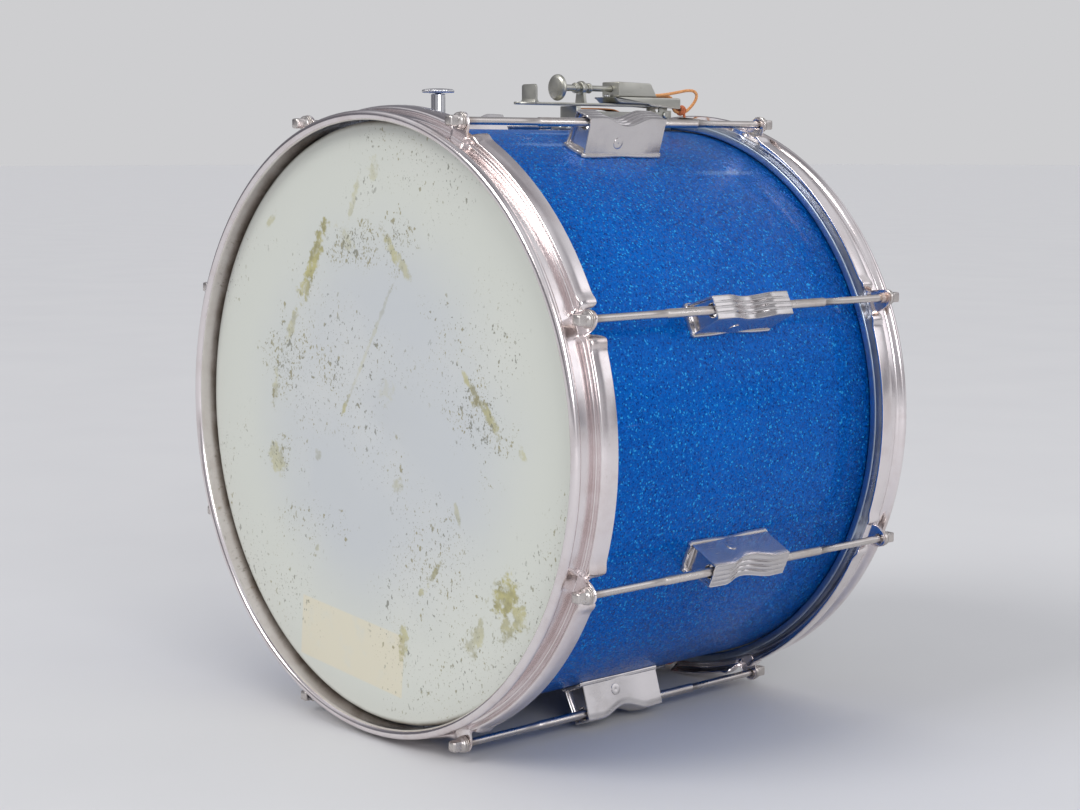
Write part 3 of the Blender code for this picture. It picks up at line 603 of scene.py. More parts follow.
# ---- shell
def make_shell():
    inner = SHELL_R - SHELL_WALL
    ridge = SHELL_R - SHELL_WALL / 2
    half = [(SHELL_R, SHELL_HALF - 2.4), (ridge + 0.4, SHELL_HALF - 0.2), (ridge - 0.4, SHELL_HALF - 0.2),
            (inner, SHELL_HALF - 2.4)]
    profile = fillet(half + [(r, -h) for r, h in reversed(half)], 0.5, 3)
    stem, vent = 4.9, 5.2
    holes = [bore(stem, 150, 190, "+Z", (0, MUFFLER_Y, 0), 32), bore(vent, 150, 190, "-X", sides=32)]
    made("shell_plies", turned(profile, 192, "+Y"), PLY, "shell", steps=holes)
    wrap_in = WRAP_R - 0.6
    cover = fillet([(WRAP_R, WRAP_HALF), (wrap_in, WRAP_HALF), (wrap_in, -WRAP_HALF), (WRAP_R, -WRAP_HALF)],
                   0.25, 2)

    def seam(bm):
        """The covering's overlap."""
        start, end = radians(196), radians(202)
        rings = []
        for k in range(9):
            a = start + (end - start) * k / 8
            lift = WRAP_R + 0.45 - 0.05 * (k == 8)
            corners = ((lift, WRAP_HALF), (WRAP_R - 0.3, WRAP_HALF), (WRAP_R - 0.3, -WRAP_HALF),
                       (lift, -WRAP_HALF))
            rings.append([(r * cos(a), y, r * sin(a)) for r, y in corners])
        skin(bm, rings)

    made("sparkle_covering", turned(cover, 256, "+Y"), SPARKLE, "sparkle_wrap",
         steps=holes + [("UNION", seam)])
    for direction, head in (("-Y", "batter"), ("+Y", "snare")):
        low, high = 101.0, 125.1
        out = inner - 0.3
        ring = fillet([(out, high), (out, low), (out - 4.2, low), (out - 4.7, low + 1.6),
                       (out - 4.7, high - 4.0)], 0.8, 3)
        made(f"{head}_glue_ring", turned(ring, 160, direction), PLY,
             f"{head}_reinforcement_ring")


def make_heads():
    under = FILM_Y - 0.3
    outer = [(0.01, FILM_Y), (60, FILM_Y), (120, FILM_Y), (160, FILM_Y), (181.2, FILM_Y), (182.6, 125.8),
             (182.6, 122.6)]
    inner = [(182.2, 122.3), (182.1, 125.6), (180.6, under), (0.01, under)]
    film = fillet(outer + inner, [0.1, 1, 1, 1, 1.8, 1.2, 0.15, 0.15, 1.2, 1.8, 0.1], 4)
    inside = FLESH_OUT - 5.1
    channel = fillet([(FLESH_OUT, FLESH_TOP), (FLESH_OUT, FLESH_LOW), (inside, FLESH_LOW), (inside, FLESH_TOP)],
                     1.3, 5)
    for direction, head, finish, slot in (("-Y", "batter", FILM, "coated_head"),
                                          ("+Y", "snare", CLEAR, "clear_head")):
        made(f"{head}_film", turned(film, 192, direction), finish, f"{head}_head_film")
        made(f"{head}_channel_hoop", turned(channel, 192, direction), ALLOY, f"{head}_flesh_hoop")


# ---- hoops
WALL_R, STEEL, BEAD = 183.2, 1.6, 2.9
FLANGE_Y = 124.1
BEAD_R, BEAD_Y = WALL_R + BEAD - 0.4, CREST - BEAD
EAR_R = 201.6
TAB_HALF, TAB_FALL = 2.0, 1.1              # degrees: half a rod's tab, and the run from it to the full skirt
# The openings in the snare-side hoop, by angle: the turns either side over which its flange returns
GATES = {90: (16.2, 16.5, 16.8, 17.1, 17.4, 17.7), 270: (2.2, 2.5, 2.8, 3.1, 3.4)}


def step_up(value, low, high):
    """0 below low, 1 above high, eased between."""
    t = min(1.0, max(0.0, (value - low) / (high - low)))
    return t * t * (3 - 2 * t)


def hoop_outline(off, gate):
    """The hoop's section, off degrees from the nearest rod; gate 1 where the flange is cut away.

    Away from the rods the flange dips behind the wall, rises to a low ridge and rolls over into the skirt.
    At a rod it is flat, with a round-ended tab, and the skirt stops short on both sides."""
    flat = 1 - step_up(off, 1.6, 3.0)
    tab = sqrt(max(0.0, 1 - (off / TAB_HALF) ** 2))
    fall = min(1.0, max(0.0, (off - TAB_HALF) / TAB_FALL))
    skirt = sqrt(max(0.0, 1 - (1 - fall) ** 2)) * (1 - gate)
    wall = WALL_R + STEEL
    rim = SKIRT_R - 2.0 + (EAR_R - SKIRT_R + 2.0) * tab
    rim += (wall + 2.6 - rim) * gate
    edge_r = rim + (SKIRT_R + 1.5 * exp(-((off - 3.4) / 1.0) ** 2) - rim) * skirt
    edge_y = FLANGE_Y - 1.4 - (FLANGE_Y - 1.4 - SKIRT_EDGE) * skirt

    def blend(dished, level):
        return dished + (level - dished) * max(flat, gate)

    def out(radius, edge):
        return min(radius, edge_r - edge)

    roll = (rim - 1.0) * (1 - skirt) + (edge_r - 1.4) * skirt
    return [(WALL_R, 121.4), (WALL_R, BEAD_Y - 1.4)], [
        (wall, BEAD_Y - 3.6), (wall, blend(122.0, FLANGE_Y)), (out(187.6, 3.4), blend(121.5, FLANGE_Y)),
        (out(189.3, 2.0), blend(123.4, FLANGE_Y)), (roll, blend(122.9, FLANGE_Y - 0.1)),
        (edge_r - 0.3 * skirt, edge_y + 7.0 * skirt + 0.3), (edge_r, edge_y), (edge_r - 1.5, edge_y - 0.05),
        (edge_r - 1.8, edge_y + 0.3 + 6.4 * skirt), (out(188.6, 2.6), blend(120.4, 122.5)),
        (wall + 1.0, 120.4 + 0.9 * flat)]


def hoop_ring(angle, off, gate, side):
    """The hoop's whole section at an angle: wall, rolled bead, flange and skirt."""
    wall_side, outside = hoop_outline(off, gate)
    curl = [(BEAD_R + BEAD * cos(radians(t)), BEAD_Y + BEAD * sin(radians(t))) for t in range(186, -61, -19)]
    radii = [1.4, 0.7, 1.0, 0.9, 1.3, 1.6, 0.6, 0.6, 1.0, 0.8, 0.5]
    rounded = fillet([curl[-1]] + outside + [wall_side[0]], [0] + radii + [0], 4, closed=False)[1:-1]
    a = radians(angle)
    return [(r * cos(a), side * h, r * sin(a)) for r, h in wall_side + curl + rounded]


def make_hoops():
    near_rod = (0.5, 1.0, 1.4, 1.7, 1.88, 1.97, 2.05, 2.2, 2.45, 2.62, 2.75, 2.95, 3.1, 3.3, 3.55, 3.9, 4.3,
                4.8, 5.3, 6.0)
    for side, head in ((-1, "batter"), (1, "snare")):
        angles = {2.5 * k for k in range(144)}
        for lug in LUG_ANGLES:
            for shift in near_rod:
                angles.update(((lug + shift) % 360, (lug - shift) % 360))
        if side > 0:
            for middle, ends in GATES.items():
                angles.update(middle + s * shift for s in (-1, 1) for shift in ends)
        rings = []
        for angle in sorted(angles):
            off = min(abs((angle - lug + 180) % 360 - 180) for lug in LUG_ANGLES)
            gate = 0.0
            if side > 0:
                gate = max(1 - step_up(abs(angle - middle), ends[0], ends[-1])
                           for middle, ends in GATES.items())
            rings.append(hoop_ring(angle, off, gate, side))
        way = "+Y" if side > 0 else "-Y"
        steps = []
        for lug in LUG_ANGLES:
            place = (ROD_CIRCLE * cos(radians(lug)), 0, ROD_CIRCLE * sin(radians(lug)))
            steps.append(bore(ROD_HOLE, 118, 128, way, place))
        if side > 0:
            steps.append(pocket((-15, 126.5, 175), (15, 133.5, 192), 1.2))
            steps.append(pocket((-7, 126.5, -192), (7, 133.5, -175), 1.2))
        made(f"{head}_counterhoop", lambda bm: skin(bm, rings, loop=True), CHROME, f"{head}_hoop", steps=steps,
             angle=40)


# ---- lugs
def lug_crest(y):
    """Height of the casing's top: a waist in the middle, and ends that drop a little."""
    top, waist_deep, waist_half, end_drop = 202.4, 5.2, 19.0, 0.5
    dip = (0.5 + 0.5 * cos(pi * min(abs(y) / waist_half, 1.0))) ** 0.85
    return top - waist_deep * dip - end_drop * (abs(y) / LUG_HALF) ** 6


def lug_ring(y, inset=0.0):
    """Section of the casing at y: sloping sides and a top face with three grooves along it."""
    top, foot = lug_crest(y) - inset, HEEL + 0.5 + inset
    deep = 0.42 + 1.25 * exp(-((abs(y) - 8.5) / 6.0) ** 2) - 0.16 * step_up(abs(y), 23, 28)
    wide = 6.4 - inset
    ring = [(-9.3 + inset, foot), (-8.9 + inset, foot + 4), (-7.6 + inset, top - 5), (-7.25 + inset, top - 1.0),
            (-6.95 + inset, top - 0.25)]
    count = 52
    for k in range(count + 1):
        x = -wide + 2 * wide * k / count
        cut = sum(exp(-((x - groove * wide) / 0.62) ** 2) for groove in (-0.52, 0.0, 0.52))
        ring.append((x, top - deep * cut - 0.012 * x * x))
    ring += [(-x, z) for x, z in reversed(ring[:5])]
    return [(x, y, z) for x, z in ring]


def plate_outline():
    """The foot plate from above: waisted sides, and ends with two notches."""
    points = []
    for k in range(25):
        y = -PLATE_HALF + 2.0 + (2 * PLATE_HALF - 4.0) * k / 24
        points.append((10.4 - 1.1 * exp(-(y / 11) ** 2), y))
    for k in range(17):
        x = 8.8 - 17.6 * k / 16
        notch = 0.9 * exp(-((abs(x) - 6.6) / 1.3) ** 2)
        points.append((x, PLATE_HALF - notch))
    return points + [(-x, -y) for x, y in points]


def foot_plate(bm):
    """The plate under a lug, curved to the shell, its edge rolled."""
    outline = plate_outline()
    count = len(outline)
    rings = []
    for inset, height in ((0, 0), (0, 1.3), (0.3, 1.95), (0.9, 2.2), (1.5, 1.9), (1.9, 1.2), (2.4, 1.0)):
        ring = []
        for k, (x, y) in enumerate(outline):
            run = Vector(outline[(k + 2) % count]) - Vector(outline[k - 2])
            normal = Vector((-run.y, run.x)).normalized()
            px, py = x + normal.x * inset, y + normal.y * inset
            ring.append((px, py, HEEL + height + sqrt(HEEL ** 2 - px ** 2) - HEEL))
        rings.append(ring)
    skin(bm, rings)


def lug_mesh():
    """The casing with its framed ends and sockets, then its foot plate and the round bosses on its sides."""
    stations = [-LUG_HALF + 0.35 + (2 * LUG_HALF - 0.7) * k / 56 for k in range(57)]
    rings = [lug_ring(-LUG_HALF + 2.6, 1.75), lug_ring(-LUG_HALF + 2.3, 1.4), lug_ring(-LUG_HALF + 0.25, 1.15),
             lug_ring(-LUG_HALF, 0.95), lug_ring(-LUG_HALF, 0.4)]
    ends = [[(x, -y, z) for x, y, z in ring] for ring in reversed(rings)]
    rings += [lug_ring(y) for y in stations] + ends
    bm = bmesh.new()
    skin(bm, rings)
    mouth = [(0, SOCKET_DEEP), (0, LUG_HALF + 2), (4.5, LUG_HALF + 2), (4.5, 25), (3.1, 24.4),
             (3.1, SOCKET_DEEP)]
    steps = [("DIFFERENCE", turned(mouth, 32, way, (0, 0, ROD_CIRCLE))) for way in ("+Y", "-Y")]
    casing = combined(mesh_of(bm, "lug_casing"), steps)
    casing.transform(Matrix.Diagonal((1 / MM, 1 / MM, 1 / MM, 1)))
    bm = bmesh.new()
    bm.from_mesh(casing)
    foot_plate(bm)
    for side in (-1, 1):
        boss = bmesh.new()
        lathe(boss, fillet([(0.01, -1.2), (3.6, -1.2), (3.6, 0.4), (0.01, 0.4)], 0.25, 3), 32, "+X")
        lean = radians(5.6)
        boss.transform(Matrix.Translation((side * 8.4, -5.5, HEEL + 8.2))
                       @ Matrix.Rotation(-lean if side > 0 else pi + lean, 4, "Y"))
        scrap = bpy.data.meshes.new("boss")
        boss.to_mesh(scrap)
        boss.free()
        bm.from_mesh(scrap)
        bpy.data.meshes.remove(scrap)
    return mesh_of(bm, "lug_casting")


def make_lugs():
    mesh = lug_mesh()
    for k, angle in enumerate(LUG_ANGLES):
        piece(f"lug_casting_{k + 1}", mesh, CAST, f"lug_{k + 1}", turn=radians(90 - angle))


# ---- tension rods
def rod_mesh(side):
    """Square key end, domed collar, two washers, plain shank and threaded end, about the rod's own axis."""
    sides = 24
    seat = FLANGE_Y + 0.35

    def round_ring(radius, y):
        turns = [2 * pi * k / sides for k in range(sides)]
        return [(radius * cos(a), side * y, radius * sin(a)) for a in turns]

    def square_ring(half, y):
        ring = []
        for k in range(sides):
            c, s = cos(2 * pi * k / sides), sin(2 * pi * k / sides)
            reach = min(half / max(abs(c), abs(s)), half * sqrt(2) * 0.93)
            ring.append((reach * c, side * y, reach * s))
        return ring

    key = ((1.7, ROD_TIP), (2.5, ROD_TIP - 0.25), (2.95, ROD_TIP - 0.8), (3.1, ROD_TIP - 1.6),
           (3.1, seat + 5.3), (3.0, seat + 4.6))
    collar = ((3.7, 4.2), (4.3, 3.6), (4.7, 2.9), (4.7, 2.4), (4.1, 2.25), (4.1, 2.1), (4.7, 2.0), (4.9, 1.7),
              (4.9, 1.3), (4.7, 1.05), (4.3, 1.0), (4.3, 0.9), (4.9, 0.8), (5.1, 0.6), (5.1, 0.2), (4.9, 0),
              (2.3, -0.05))
    shank = ((2.25, 118), (2.25, 100), (2.25, 82), (2.25, 66.6), (2.6, 66.2), (2.7, 65.8))
    rings = [square_ring(half, y) for half, y in key]
    rings += [round_ring(radius, seat + up) for radius, up in collar]
    rings += [round_ring(radius, y) for radius, y in shank]
    pitch, rows, thread_start, thread_length = 0.95, 4, 65.6, 38
    for k in range(int(thread_length / pitch * rows)):
        y = thread_start - k * pitch / rows
        ring = []
        for j in range(sides):
            a = 2 * pi * j / sides
            phase = (y / pitch + j / sides) % 1.0
            radius = 2.30 + 0.42 * (1 - abs(2 * phase - 1))     # root, and height of the thread
            ring.append((radius * cos(a), side * y, radius * sin(a)))
        rings.append(ring)
    rings += [round_ring(2.3, 26), round_ring(2.3, ROD_INNER + 0.4), round_ring(1.9, ROD_INNER)]
    bm = bmesh.new()
    skin(bm, rings)
    return mesh_of(bm, f"rod_{side}", 50)


def make_rods():
    for side, head in ((-1, "batter"), (1, "snare")):
        mesh = rod_mesh(side)
        for k, angle in enumerate(LUG_ANGLES):
            a = radians(angle)
            name = f"{head}_rod_{k + 1}"
            piece(f"{head}_tension_rod_{k + 1}", mesh, ROD, name, name,
                  shift=(ROD_CIRCLE * cos(a), 0, ROD_CIRCLE * sin(a)))


# ---- strainer
def make_strainer():
    floor = HEEL + 0.1
    rivet = (0, 106, 188.5)

    base = lambda bm: block(bm, (-8, 26, floor), (8, 112, 193.4), 0.5)
    foot = lambda bm: block(bm, (-7.4, 17.5, floor + 0.05), (7.4, 27.2, floor + 1.45), 0.5)
    hollow = pocket((-6.5, 27.6, floor + 1.5), (6.5, 114, 200), 0.3)
    sill = pocket((-9, 29.2, 190.0), (9, 101, 201), 1.5)
    lobe = pocket((-9, 99, 191.4), (9, 114, 201), 1.2)
    made("strainer_channel", base, DULL, "strainer_base",
         steps=[hollow, sill, lobe, bore(1.7, -9, 9, "+X", rivet), ("UNION", foot)])

    def foot_screws(bm):
        for x in (-4.2, 4.2):
            dome = fillet([(0.01, 0), (2.1, 0), (1.9, 0.8), (1.0, 1.3), (0.01, 1.4)], 0.3, 3)
            lathe(bm, dome, 28, "+Z", (x, 22.2, floor + 1.55))

    made("strainer_foot_screws", foot_screws, BRIGHT)

    pin = fillet([(0.01, 9.4), (1.9, 9.4), (2.4, 8.9), (2.4, 8.25), (1.45, 8.2), (1.45, -8.2), (2.4, -8.25),
                  (2.4, -8.9), (1.9, -9.4), (0.01, -9.4)], 0.15, 2)
    made("lever_rivet", turned(pin, 28, "+X", rivet), DULL, "lever_pivot_pin")

    def leaf(bm):
        line = curve_through([(0, 95, 180.7), (0, 86, 182.1), (0, 77, 184.8), (0, 70, 188.6), (0, 63, 191.2),
                              (0, 55, 191.9), (0, 44, 192.0), (0, 31, 191.9)], 40)
        rings = []
        for point in line:
            y, z = point.y, point.z
            rings.append([(-5, y, z - 0.35), (5, y, z - 0.35), (5, y, z + 0.35), (-5, y, z + 0.35)])
        skin(bm, rings)

    made("leaf_spring", leaf, BRASS, "strainer_spring")

    plan = [(-7, 113), (-7, -6), (-5.2, -14), (-2.5, -19), (2.5, -19), (5.2, -14), (7, -6), (7, 113)]
    deck = fillet(plan, [1.5, 4, 5, 3, 3, 5, 4, 1.5], 4)

    def lever(bm):
        """The deck with its finger tab, the screw's post and eye, and the two cheeks at the pivot."""
        slab(bm, deck, DECK_LOW, DECK_TOP, "XY", 0.3)
        face = fillet([(-6.8, DECK_TOP - 0.9), (6.8, DECK_TOP - 0.9), (6.8, 206.6), (-6.8, 206.6)],
                      [0.2, 0.2, 2.2, 2.2], 5)
        slab(bm, face, -7.9, -6.2, "XZ", 0.4)
        gusset = [(-9.2, DECK_TOP - 0.4), (-4.6, DECK_TOP - 0.4), (-6.35, DECK_TOP + 2.0),
                  (-7.75, DECK_TOP + 2.0)]
        slab(bm, fillet(gusset, 0.5, 3), -6.6, 6.6, "YZ", 0.2)
        face = fillet([(-4.6, DECK_TOP - 1), (4.6, DECK_TOP - 1), (3.4, 202.4), (-3.4, 202.4)], 0.5, 3)
        slab(bm, face, 35.8, 38.2, "XZ", 0.4)
        eye_ring = fillet([(0.01, 35.3), (4.1, 35.3), (4.6, 36.2), (4.6, 37.8), (4.1, 38.7), (0.01, 38.7)],
                          0.6, 4)
        lathe(bm, eye_ring, 40, "+Y", (0, 0, SCREW_Z))
        for x in (-5.55, 5.55):
            face = fillet([(102.2, DECK_LOW + 0.6), (102.2, 187.0), (104.5, 185.6), (107.5, 185.6),
                           (109.8, 187.0), (109.8, DECK_LOW + 0.6)], 1.2, 4)
            slab(bm, face, x - 0.65, x + 0.65, "YZ", 0.2)

    made("strainer_arm_plate", lever, DULL, "strainer_lever", "strainer_arm")

    screw = [(0.01, 14.0), (3.5, 14.15), (6.2, 14.7), (7.7, 15.4), (8.4, 16.2), (8.4, 17.2), (7.8, 17.6),
             (7.2, 17.3), (4.0, 18.2), (2.6, 19.6), (2.2, 22.0), (2.1, 27.5), (2.2, 30.9), (3.4, 31.1),
             (3.4, 32.0), (2.7, 32.1), (2.7, 32.4), (3.3, 32.5), (3.3, 33.3), (1.9, 33.45), (1.9, 41.6),
             (3.2, 41.75), (3.2, 42.6), (2.6, 42.7), (2.6, 43.1), (3.3, 43.2), (3.3, 44.3), (1.9, 44.45),
             (1.9, 52), (1.9, 62), (1.9, 85.4), (1.4, 86), (0.01, 86)]
    made("fine_adjuster", turned(fillet(screw, 0.35, 3), 48, "+Y", (0, 0, SCREW_Z)), DULL, "thumbscrew",
         "thumbscrew")

    saddle_top = span("clamp_saddle")[1].z
    front, rear = span("clamp_saddle")[0].y, span("clamp_saddle")[1].y

    def saddle(bm):
        side = [(front, saddle_top), (rear, saddle_top), (rear, 192.6), (front + 34, 193.9),
                (front + 31, 195.2), (front + 5, 195.6)]
        slab(bm, fillet(side, [0.8, 1.6, 1.0, 0.8, 0.8, 1.5], 4), -9.7, 9.7, "YZ", 0.7)

    channel = pocket((-8.3, front - 3, 188), (8.3, rear + 3, DECK_TOP + 0.7), 0.3)
    made("clamp_carriage_saddle", saddle, DULL, "clamp_saddle", "clamp_carriage", steps=[channel])

    low, high = span("clamp_block")

    def jaw(bm):
        side = [(low.y, low.z), (high.y, low.z), (high.y - 5.7, high.z - 0.6), (low.y, high.z)]
        slab(bm, fillet(side, [0.5, 0.8, 1.2, 0.9], 4), -8, 8, "YZ", 0.5)

    hole = bore(2.25, 60, 92.5, "+Y", (0, 0, SCREW_Z), 28)
    groove = pocket((-3.2, 78, low.z - 1), (3.2, 102, low.z + 2.5), 0.3)
    made("clamp_jaw", jaw, DULL, "clamp_block", "clamp_carriage", steps=[hole, groove])

    dome = fillet([(0.01, 1.55), (1.1, 1.4), (2.0, 0.9), (2.35, 0.1), (0.01, 0.05)], 0.25, 3)
    stud = turned(dome, 32, "+Z", (0, 60.4, saddle_top + 0.25))
    slit = pocket((-3, 60.05, saddle_top + 1.2), (3, 60.75, saddle_top + 3), 0.05)
    made("clamp_stud", stud, BRIGHT, "clamp_screw", "clamp_carriage", [slit])


# ---- snares and their cords
SNARE_LOOP = [
    (-1.3, 88, 201.25), (-1.3, 95, 201.25), (-1.4, 103, 201.25), (-1.6, 111, 201.2), (-1.6, 117, 201.1),
    (-1.5, 120.9, 200.1), (-1.3, 122.3, 197), (-1.0, 122.5, 193.8), (-0.5, 124.2, 191.3), (0.1, 128, 190.5),
    (0.9, 132.3, 191.2), (2.6, 135.8, 194.4), (4.2, 138.6, 198.8), (4.8, 139.0, 202.6), (4.6, 136.2, 205.0),
    (4.0, 130.5, 205.2), (3.0, 123, 204.0), (2.1, 115, 202.7), (1.5, 107, 201.8), (1.3, 100, 201.35),
    (1.3, 93, 201.25), (1.3, 88, 201.25)]
TIE_ROUTE = [
    (2.6, 128.2, 194.2), (2.7, 128.9, 191.4), (2.4, 129.8, 188), (1.7, 130.6, 183.5), (0.8, 131, 178),
    (0.2, 130.5, 172), (0, 129.6, 167.5)]
BUTT_ROUTE = [
    (0, 129.6, -167.5), (0, 130.5, -172), (0, 131, -178), (0, 130.4, -183.5), (0, 127.6, -187.6),
    (0, 122.8, -189.4), (0, 116.5, -188), (0, 110, -184.8), (0, 104, -183.2), (0, 97, -182.95),
    (0, 90, -182.95)]


def make_snares():
    low, high = span("snare_set")

    def strands(bm):
        middle = (low.y + high.y) / 2
        reach = high.z - 6.5
        for k in range(8):
            x = -11.6 + 23.2 * k / 7
            route = [Vector((x, middle, -reach + 2 * reach * j / 420)) for j in range(421)]
            sweep(bm, route, twisted(0.62, 3.2, 2), 8)

    made("snare_strands", strands, WIRE, "snare_set")

    def plates(bm):
        for end in (-1, 1):
            z = sorted((end * (high.z - 11), end * high.z))
            outline = fillet([(low.x, z[0]), (high.x, z[0]), (high.x, z[1]), (low.x, z[1])], 2.2, 5)
            slab(bm, outline, low.y - 0.25, high.y + 0.35, "XZ", 0.3)

    made("snare_end_plates", plates, WIRE)

    pin = fillet([(0.01, 132.3), (0.9, 132.3), (1.35, 131.6), (1.35, 124.8), (0.9, 124.3), (0.01, 124.3)],
                 0.3, 3)
    made("cord_pin", turned(pin, 28, "+Y", (0, 0, 193.7)), BRIGHT, "snare_pin")
    hinge = ("root", "strainer_arm", (0, 0.125, AXIS + 0.2), (0, 0.109, AXIS + 0.2))
    made("strainer_cord", lambda bm: sweep(bm, curve_through(SNARE_LOOP, 260), twisted(1.05, 4.2)), TAN,
         "snare_cord", hinge)

    def tie(bm):
        sweep(bm, curve_through(TIE_ROUTE, 90), twisted(0.95, 3.4))
        for turn, (y, z) in enumerate(((126.6, 192.0), (127.9, 191.8), (129.2, 192.2))):
            knot = []
            for k in range(37):
                a = 2 * pi * k / 36
                knot.append(Vector((0.9 + 2.6 * cos(a), y + 0.45 * sin(2 * a + turn), z + 2.6 * sin(a))))
            sweep(bm, knot, twisted(0.85, 3.0))

    made("snare_tie_cord", tie, ORANGE, "snare_tie")
    made("butt_tie_cord", lambda bm: sweep(bm, curve_through(BUTT_ROUTE, 120), twisted(0.95, 3.4)), ORANGE,
         "butt_cord")


def make_butt_end():
    low, high = span("butt_bracket")
    bar_low, bar_high = span("butt_clamp_bar")
    screw_x, screw_y = (-10, 10), 94
    holes = [bore(1.8, -200, -170, "+Z", (x, screw_y, 0)) for x in screw_x]
    made("butt_plate", lambda bm: block(bm, low, high, 0.6), BRIGHT, "butt_bracket", steps=holes)
    made("butt_bar", lambda bm: block(bm, bar_low, bar_high, 0.8), BRIGHT, "butt_clamp_bar", steps=holes)
    seat = bar_low.z - 0.3
    shape = fillet([(0.01, seat - 2.2), (1.8, seat - 2.1), (3.1, seat - 0.9), (3.2, seat), (1.5, seat + 0.1),
                    (1.5, -179), (0.01, -179)], 0.25, 3)
    for k, x in enumerate(screw_x):
        slit = pocket((x - 4, screw_y - 0.4, seat - 4), (x + 4, screw_y + 0.4, seat - 1.3), 0.05)
        made(f"butt_slotted_screw_{k + 1}", turned(shape, 36, "+Z", (x, screw_y, 0)), BRIGHT,
             f"butt_screw_{k + 1}", steps=[slit])


# ---- tone control and vent
def make_tone_control():
    middle = (0, MUFFLER_Y, 0)
    bush = [(4.35, 199.0), (4.35, 171.2), (7.5, 171.1), (7.5, 169.0), (2.3, 169.0), (2.3, 199.0)]
    bush = turned(fillet(bush, [0.6, 0.2, 0.4, 0.4, 0.2, 0.4], 4), 64, "+Z", middle)

    def nut(bm):
        hexagon = [(6.6 * cos(pi / 3 * k), 6.6 * sin(pi / 3 * k) + MUFFLER_Y) for k in range(6)]
        slab(bm, fillet(hexagon, 0.6, 3), WRAP_R + 1.1, WRAP_R + 4.0, "XY", 0.5)
        washer = [(4.2, WRAP_R + 0.2), (8.4, WRAP_R + 0.2), (8.4, WRAP_R + 1.1), (4.2, WRAP_R + 1.1)]
        lathe(bm, fillet(washer, 0.3, 3), 48, "+Z", middle)

    made("tone_bush", bush, BRIGHT, "muffler_bush")
    made("tone_bush_nut", nut, BRIGHT)

    def fluted(radius, height, angle):
        return radius - (0.28 * (0.5 + 0.5 * cos(36 * angle)) if radius > 9.2 else 0.0)

    knob = [(0.01, 202.2), (5.5, 202.1), (8.6, 201.75), (9.7, 201.3), (9.9, 200.9), (9.9, 200.1), (9.6, 199.7),
            (8.8, 199.5), (1.95, 199.4), (1.95, 164.8), (0.01, 164.8)]
    made("tone_knob", turned(fillet(knob, 0.3, 2), 216, "+Z", middle, fluted), BRIGHT, "muffler_knob",
         "muffler_knob")

    def arm(bm):
        line = [(-77.8, 160.5), (-86, 160.5), (-93.6, 160.4), (-96.0, 158.2), (-106, 146.8), (-116.8, 134.4),
                (-118.4, 131.6), (-118.4, 124), (-118.4, 116)]
        outline = fillet(line, 1.5, 3, closed=False)
        rings = []
        for k, (y, z) in enumerate(outline):
            before, after = outline[max(k - 1, 0)], outline[min(k + 1, len(outline) - 1)]
            run = Vector((after[0] - before[0], after[1] - before[1])).normalized()
            ny, nz = -run.y * 0.55, run.x * 0.55
            rings.append([(-6, y - ny, z - nz), (6, y - ny, z - nz), (6, y + ny, z + nz), (-6, y + ny, z + nz)])
        skin(bm, rings)

    made("tone_spring_arm", arm, WIRE, "muffler_arm", "muffler_arm")

    def bracket(bm):
        for x in (-7.4, 7.4):
            face = fillet([(-86, 169.2), (-97.5, 169.2), (-95.2, 157.5), (-88.8, 157.5)], 1.6, 4)
            slab(bm, face, x - 0.5, x + 0.5, "YZ", 0.15)
        block(bm, (-7.9, -97.5, 168.7), (7.9, -73, 169.6), 0.2)
        hinge = fillet([(0.01, -8.6), (1.2, -8.6), (1.2, 8.6), (0.01, 8.6)], 0.2, 2)
        lathe(bm, hinge, 20, "+X", (0, -92, 159.4))

    made("tone_bracket", bracket, WIRE)

    def uneven(radius, height, angle):
        wave = 0.008 * sin(5 * angle + height) + 0.006 * sin(11 * angle)
        return radius * (1 + wave) if radius > 1 else radius

    pad = [(0.01, 127.3), (8, 127.3), (13.4, 127.1), (14.8, 125.6), (15.0, 123.2), (14.7, 120.8), (13.6, 119.5),
           (8, 119.4), (0.01, 119.4)]
    made("felt_damper", turned(fillet(pad, 0.9, 3), 72, "-Y", (0, 0, 122), uneven), FELT, "muffler_pad",
         "muffler_arm")


def make_vent():
    outline = [(4.6, 170.7), (4.6, WRAP_R + 0.35), (8.0, WRAP_R + 0.45), (7.6, WRAP_R + 1.2),
               (5.6, WRAP_R + 1.7), (3.7, WRAP_R + 1.2), (3.6, 170.7)]
    made("vent_eyelet", turned(fillet(outline, 0.5, 4), 64, "-X"), BRIGHT, "vent_grommet")


# ---- scene
def make_stage():
    bm = bmesh.new()
    bmesh.ops.create_grid(bm, x_segments=2, y_segments=2, size=60.0)
    mesh = bpy.data.meshes.new("floor")
    bm.to_mesh(mesh)
    bm.free()
    floor = linked("floor", mesh)
    f = Finish("floor_paper", Roughness=0.9, Specular_IOR_Level=0.1)
    f.set(Base_Color=f.mix(f.noise(5, 3, 0.5), (203, 203, 206), (209, 209, 211)))
    mesh.materials.append(f.material)


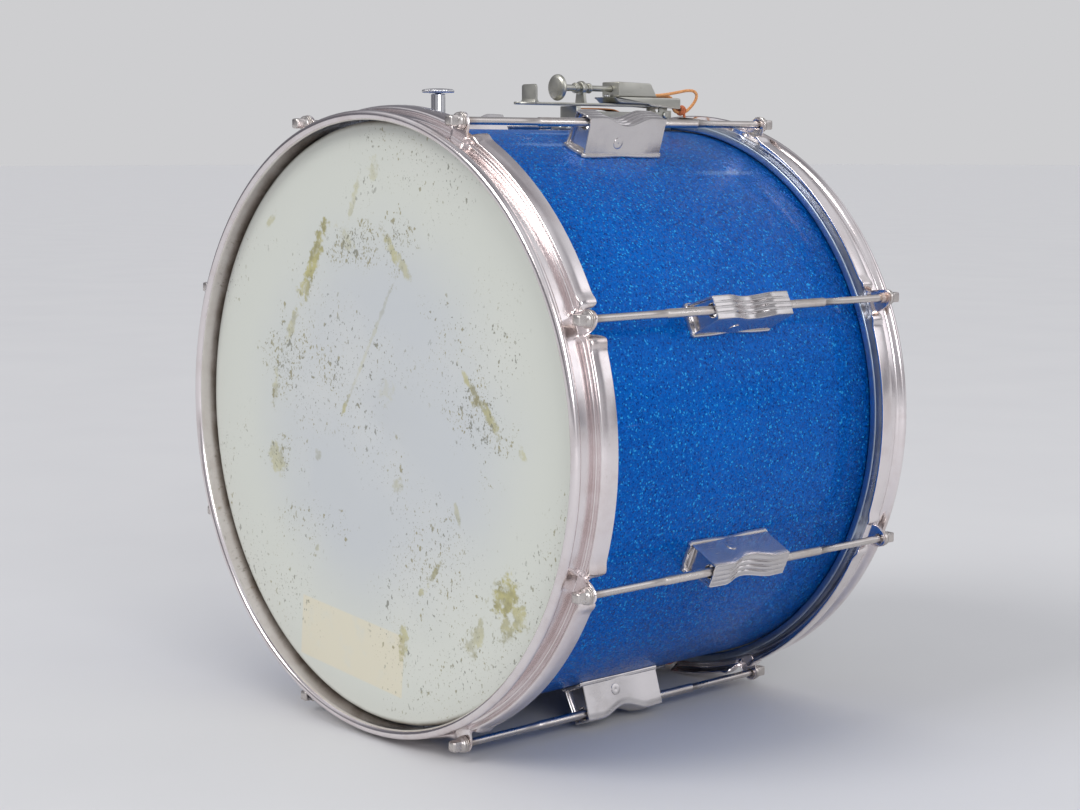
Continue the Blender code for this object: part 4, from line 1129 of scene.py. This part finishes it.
def make_world():
    """Plain pale surroundings. What the plating reflects is a dim room with pale walls here and there, a paler
    ceiling, and a soft window to one side."""
    world = bpy.data.worlds.new("studio")
    bpy.context.scene.world = world
    world.use_nodes = True
    world.node_tree.nodes.clear()
    w = Nodes(world.node_tree)

    def ramp(value, *stops):
        new = w.node("ValToRGB", inputs={"Fac": value})
        elements = new.color_ramp.elements
        for element, (position, colour) in zip(elements, stops):
            element.position, element.color = position, screen(*colour)
        for position, colour in stops[2:]:
            elements.new(position).color = screen(*colour)
        return new.outputs["Color"]

    def glow(colour, strength):
        return w.node("Background", 0, {"Color": colour, "Strength": strength})

    def either(share, a, b):
        return w.node("MixShader", 0, {0: share, 1: a, 2: b})

    way = w.node("TexCoord", "Generated")
    height = w.split(way)[2]
    patches = w.plus(w.noise(1.35, 1.0, 0.5, way), w.ease(height, 0.30, 0.75, 0.0, 0.17))
    dome = glow(ramp(height, (0.0, (206, 207, 210)), (0.6, (246, 247, 250))), 0.85)
    room = glow(ramp(patches, (0.36, (106, 106, 114)), (0.72, (230, 232, 237)), (0.52, (156, 156, 162))), 0.9)
    toward_window = w.vector("DOT_PRODUCT", way, (0.61, 0.66, 0.44), "Value")
    walls = either(w.ease(toward_window, 0.925, 0.985), room, glow(screen(250, 250, 255), 1.25))
    rays = w.node("LightPath").outputs
    lit = either(rays["Is Glossy Ray"], dome, walls)
    shown = either(rays["Is Camera Ray"], lit, glow(screen(206, 206, 208), 1.0))
    w.node("OutputWorld", inputs={"Surface": shown})


def lamp(name, kind, place, aim, power, colour, **settings):
    data = bpy.data.lights.new(name, kind)
    data.energy = power
    data.color = colour
    for key, value in settings.items():
        setattr(data, key, value)
    obj = linked(name, data)
    obj.location = place
    obj.rotation_euler = (Vector(aim) - Vector(place)).to_track_quat("-Z", "Y").to_euler()


def make_lights():
    middle = (0, 0, AXIS)
    lamp("key", "SUN", (-0.5, -2.4, 2.2), middle, 1.15, (1.0, 0.985, 0.96), angle=radians(28))
    lamp("side", "AREA", (2.4, -1.0, 1.3), middle, 24, (0.98, 0.98, 1.0), shape="RECTANGLE", size=1.4,
         size_y=1.2)


def make_camera():
    """The camera looks from the batter head's right, a little above the drum's axis."""
    turn, rise = radians(48.40), radians(7.083)
    back = Vector((sin(turn) * cos(rise), -cos(turn) * cos(rise), sin(rise)))
    data = bpy.data.cameras.new("camera")
    data.lens, data.sensor_width, data.clip_end = 67.03, 36.0, 200
    camera = linked("camera", data)
    camera.location = (0.9641, -0.8543, AXIS + 0.1621)
    camera.rotation_euler = back.to_track_quat("Z", "Y").to_euler()
    bpy.context.scene.camera = camera


bpy.context.scene.view_settings.view_transform = "Standard"
for make in (make_camera, make_stage, make_world, make_lights, make_shell, make_heads, make_hoops, make_lugs,
             make_rods, make_strainer, make_snares, make_butt_end, make_tone_control, make_vent):
    make()
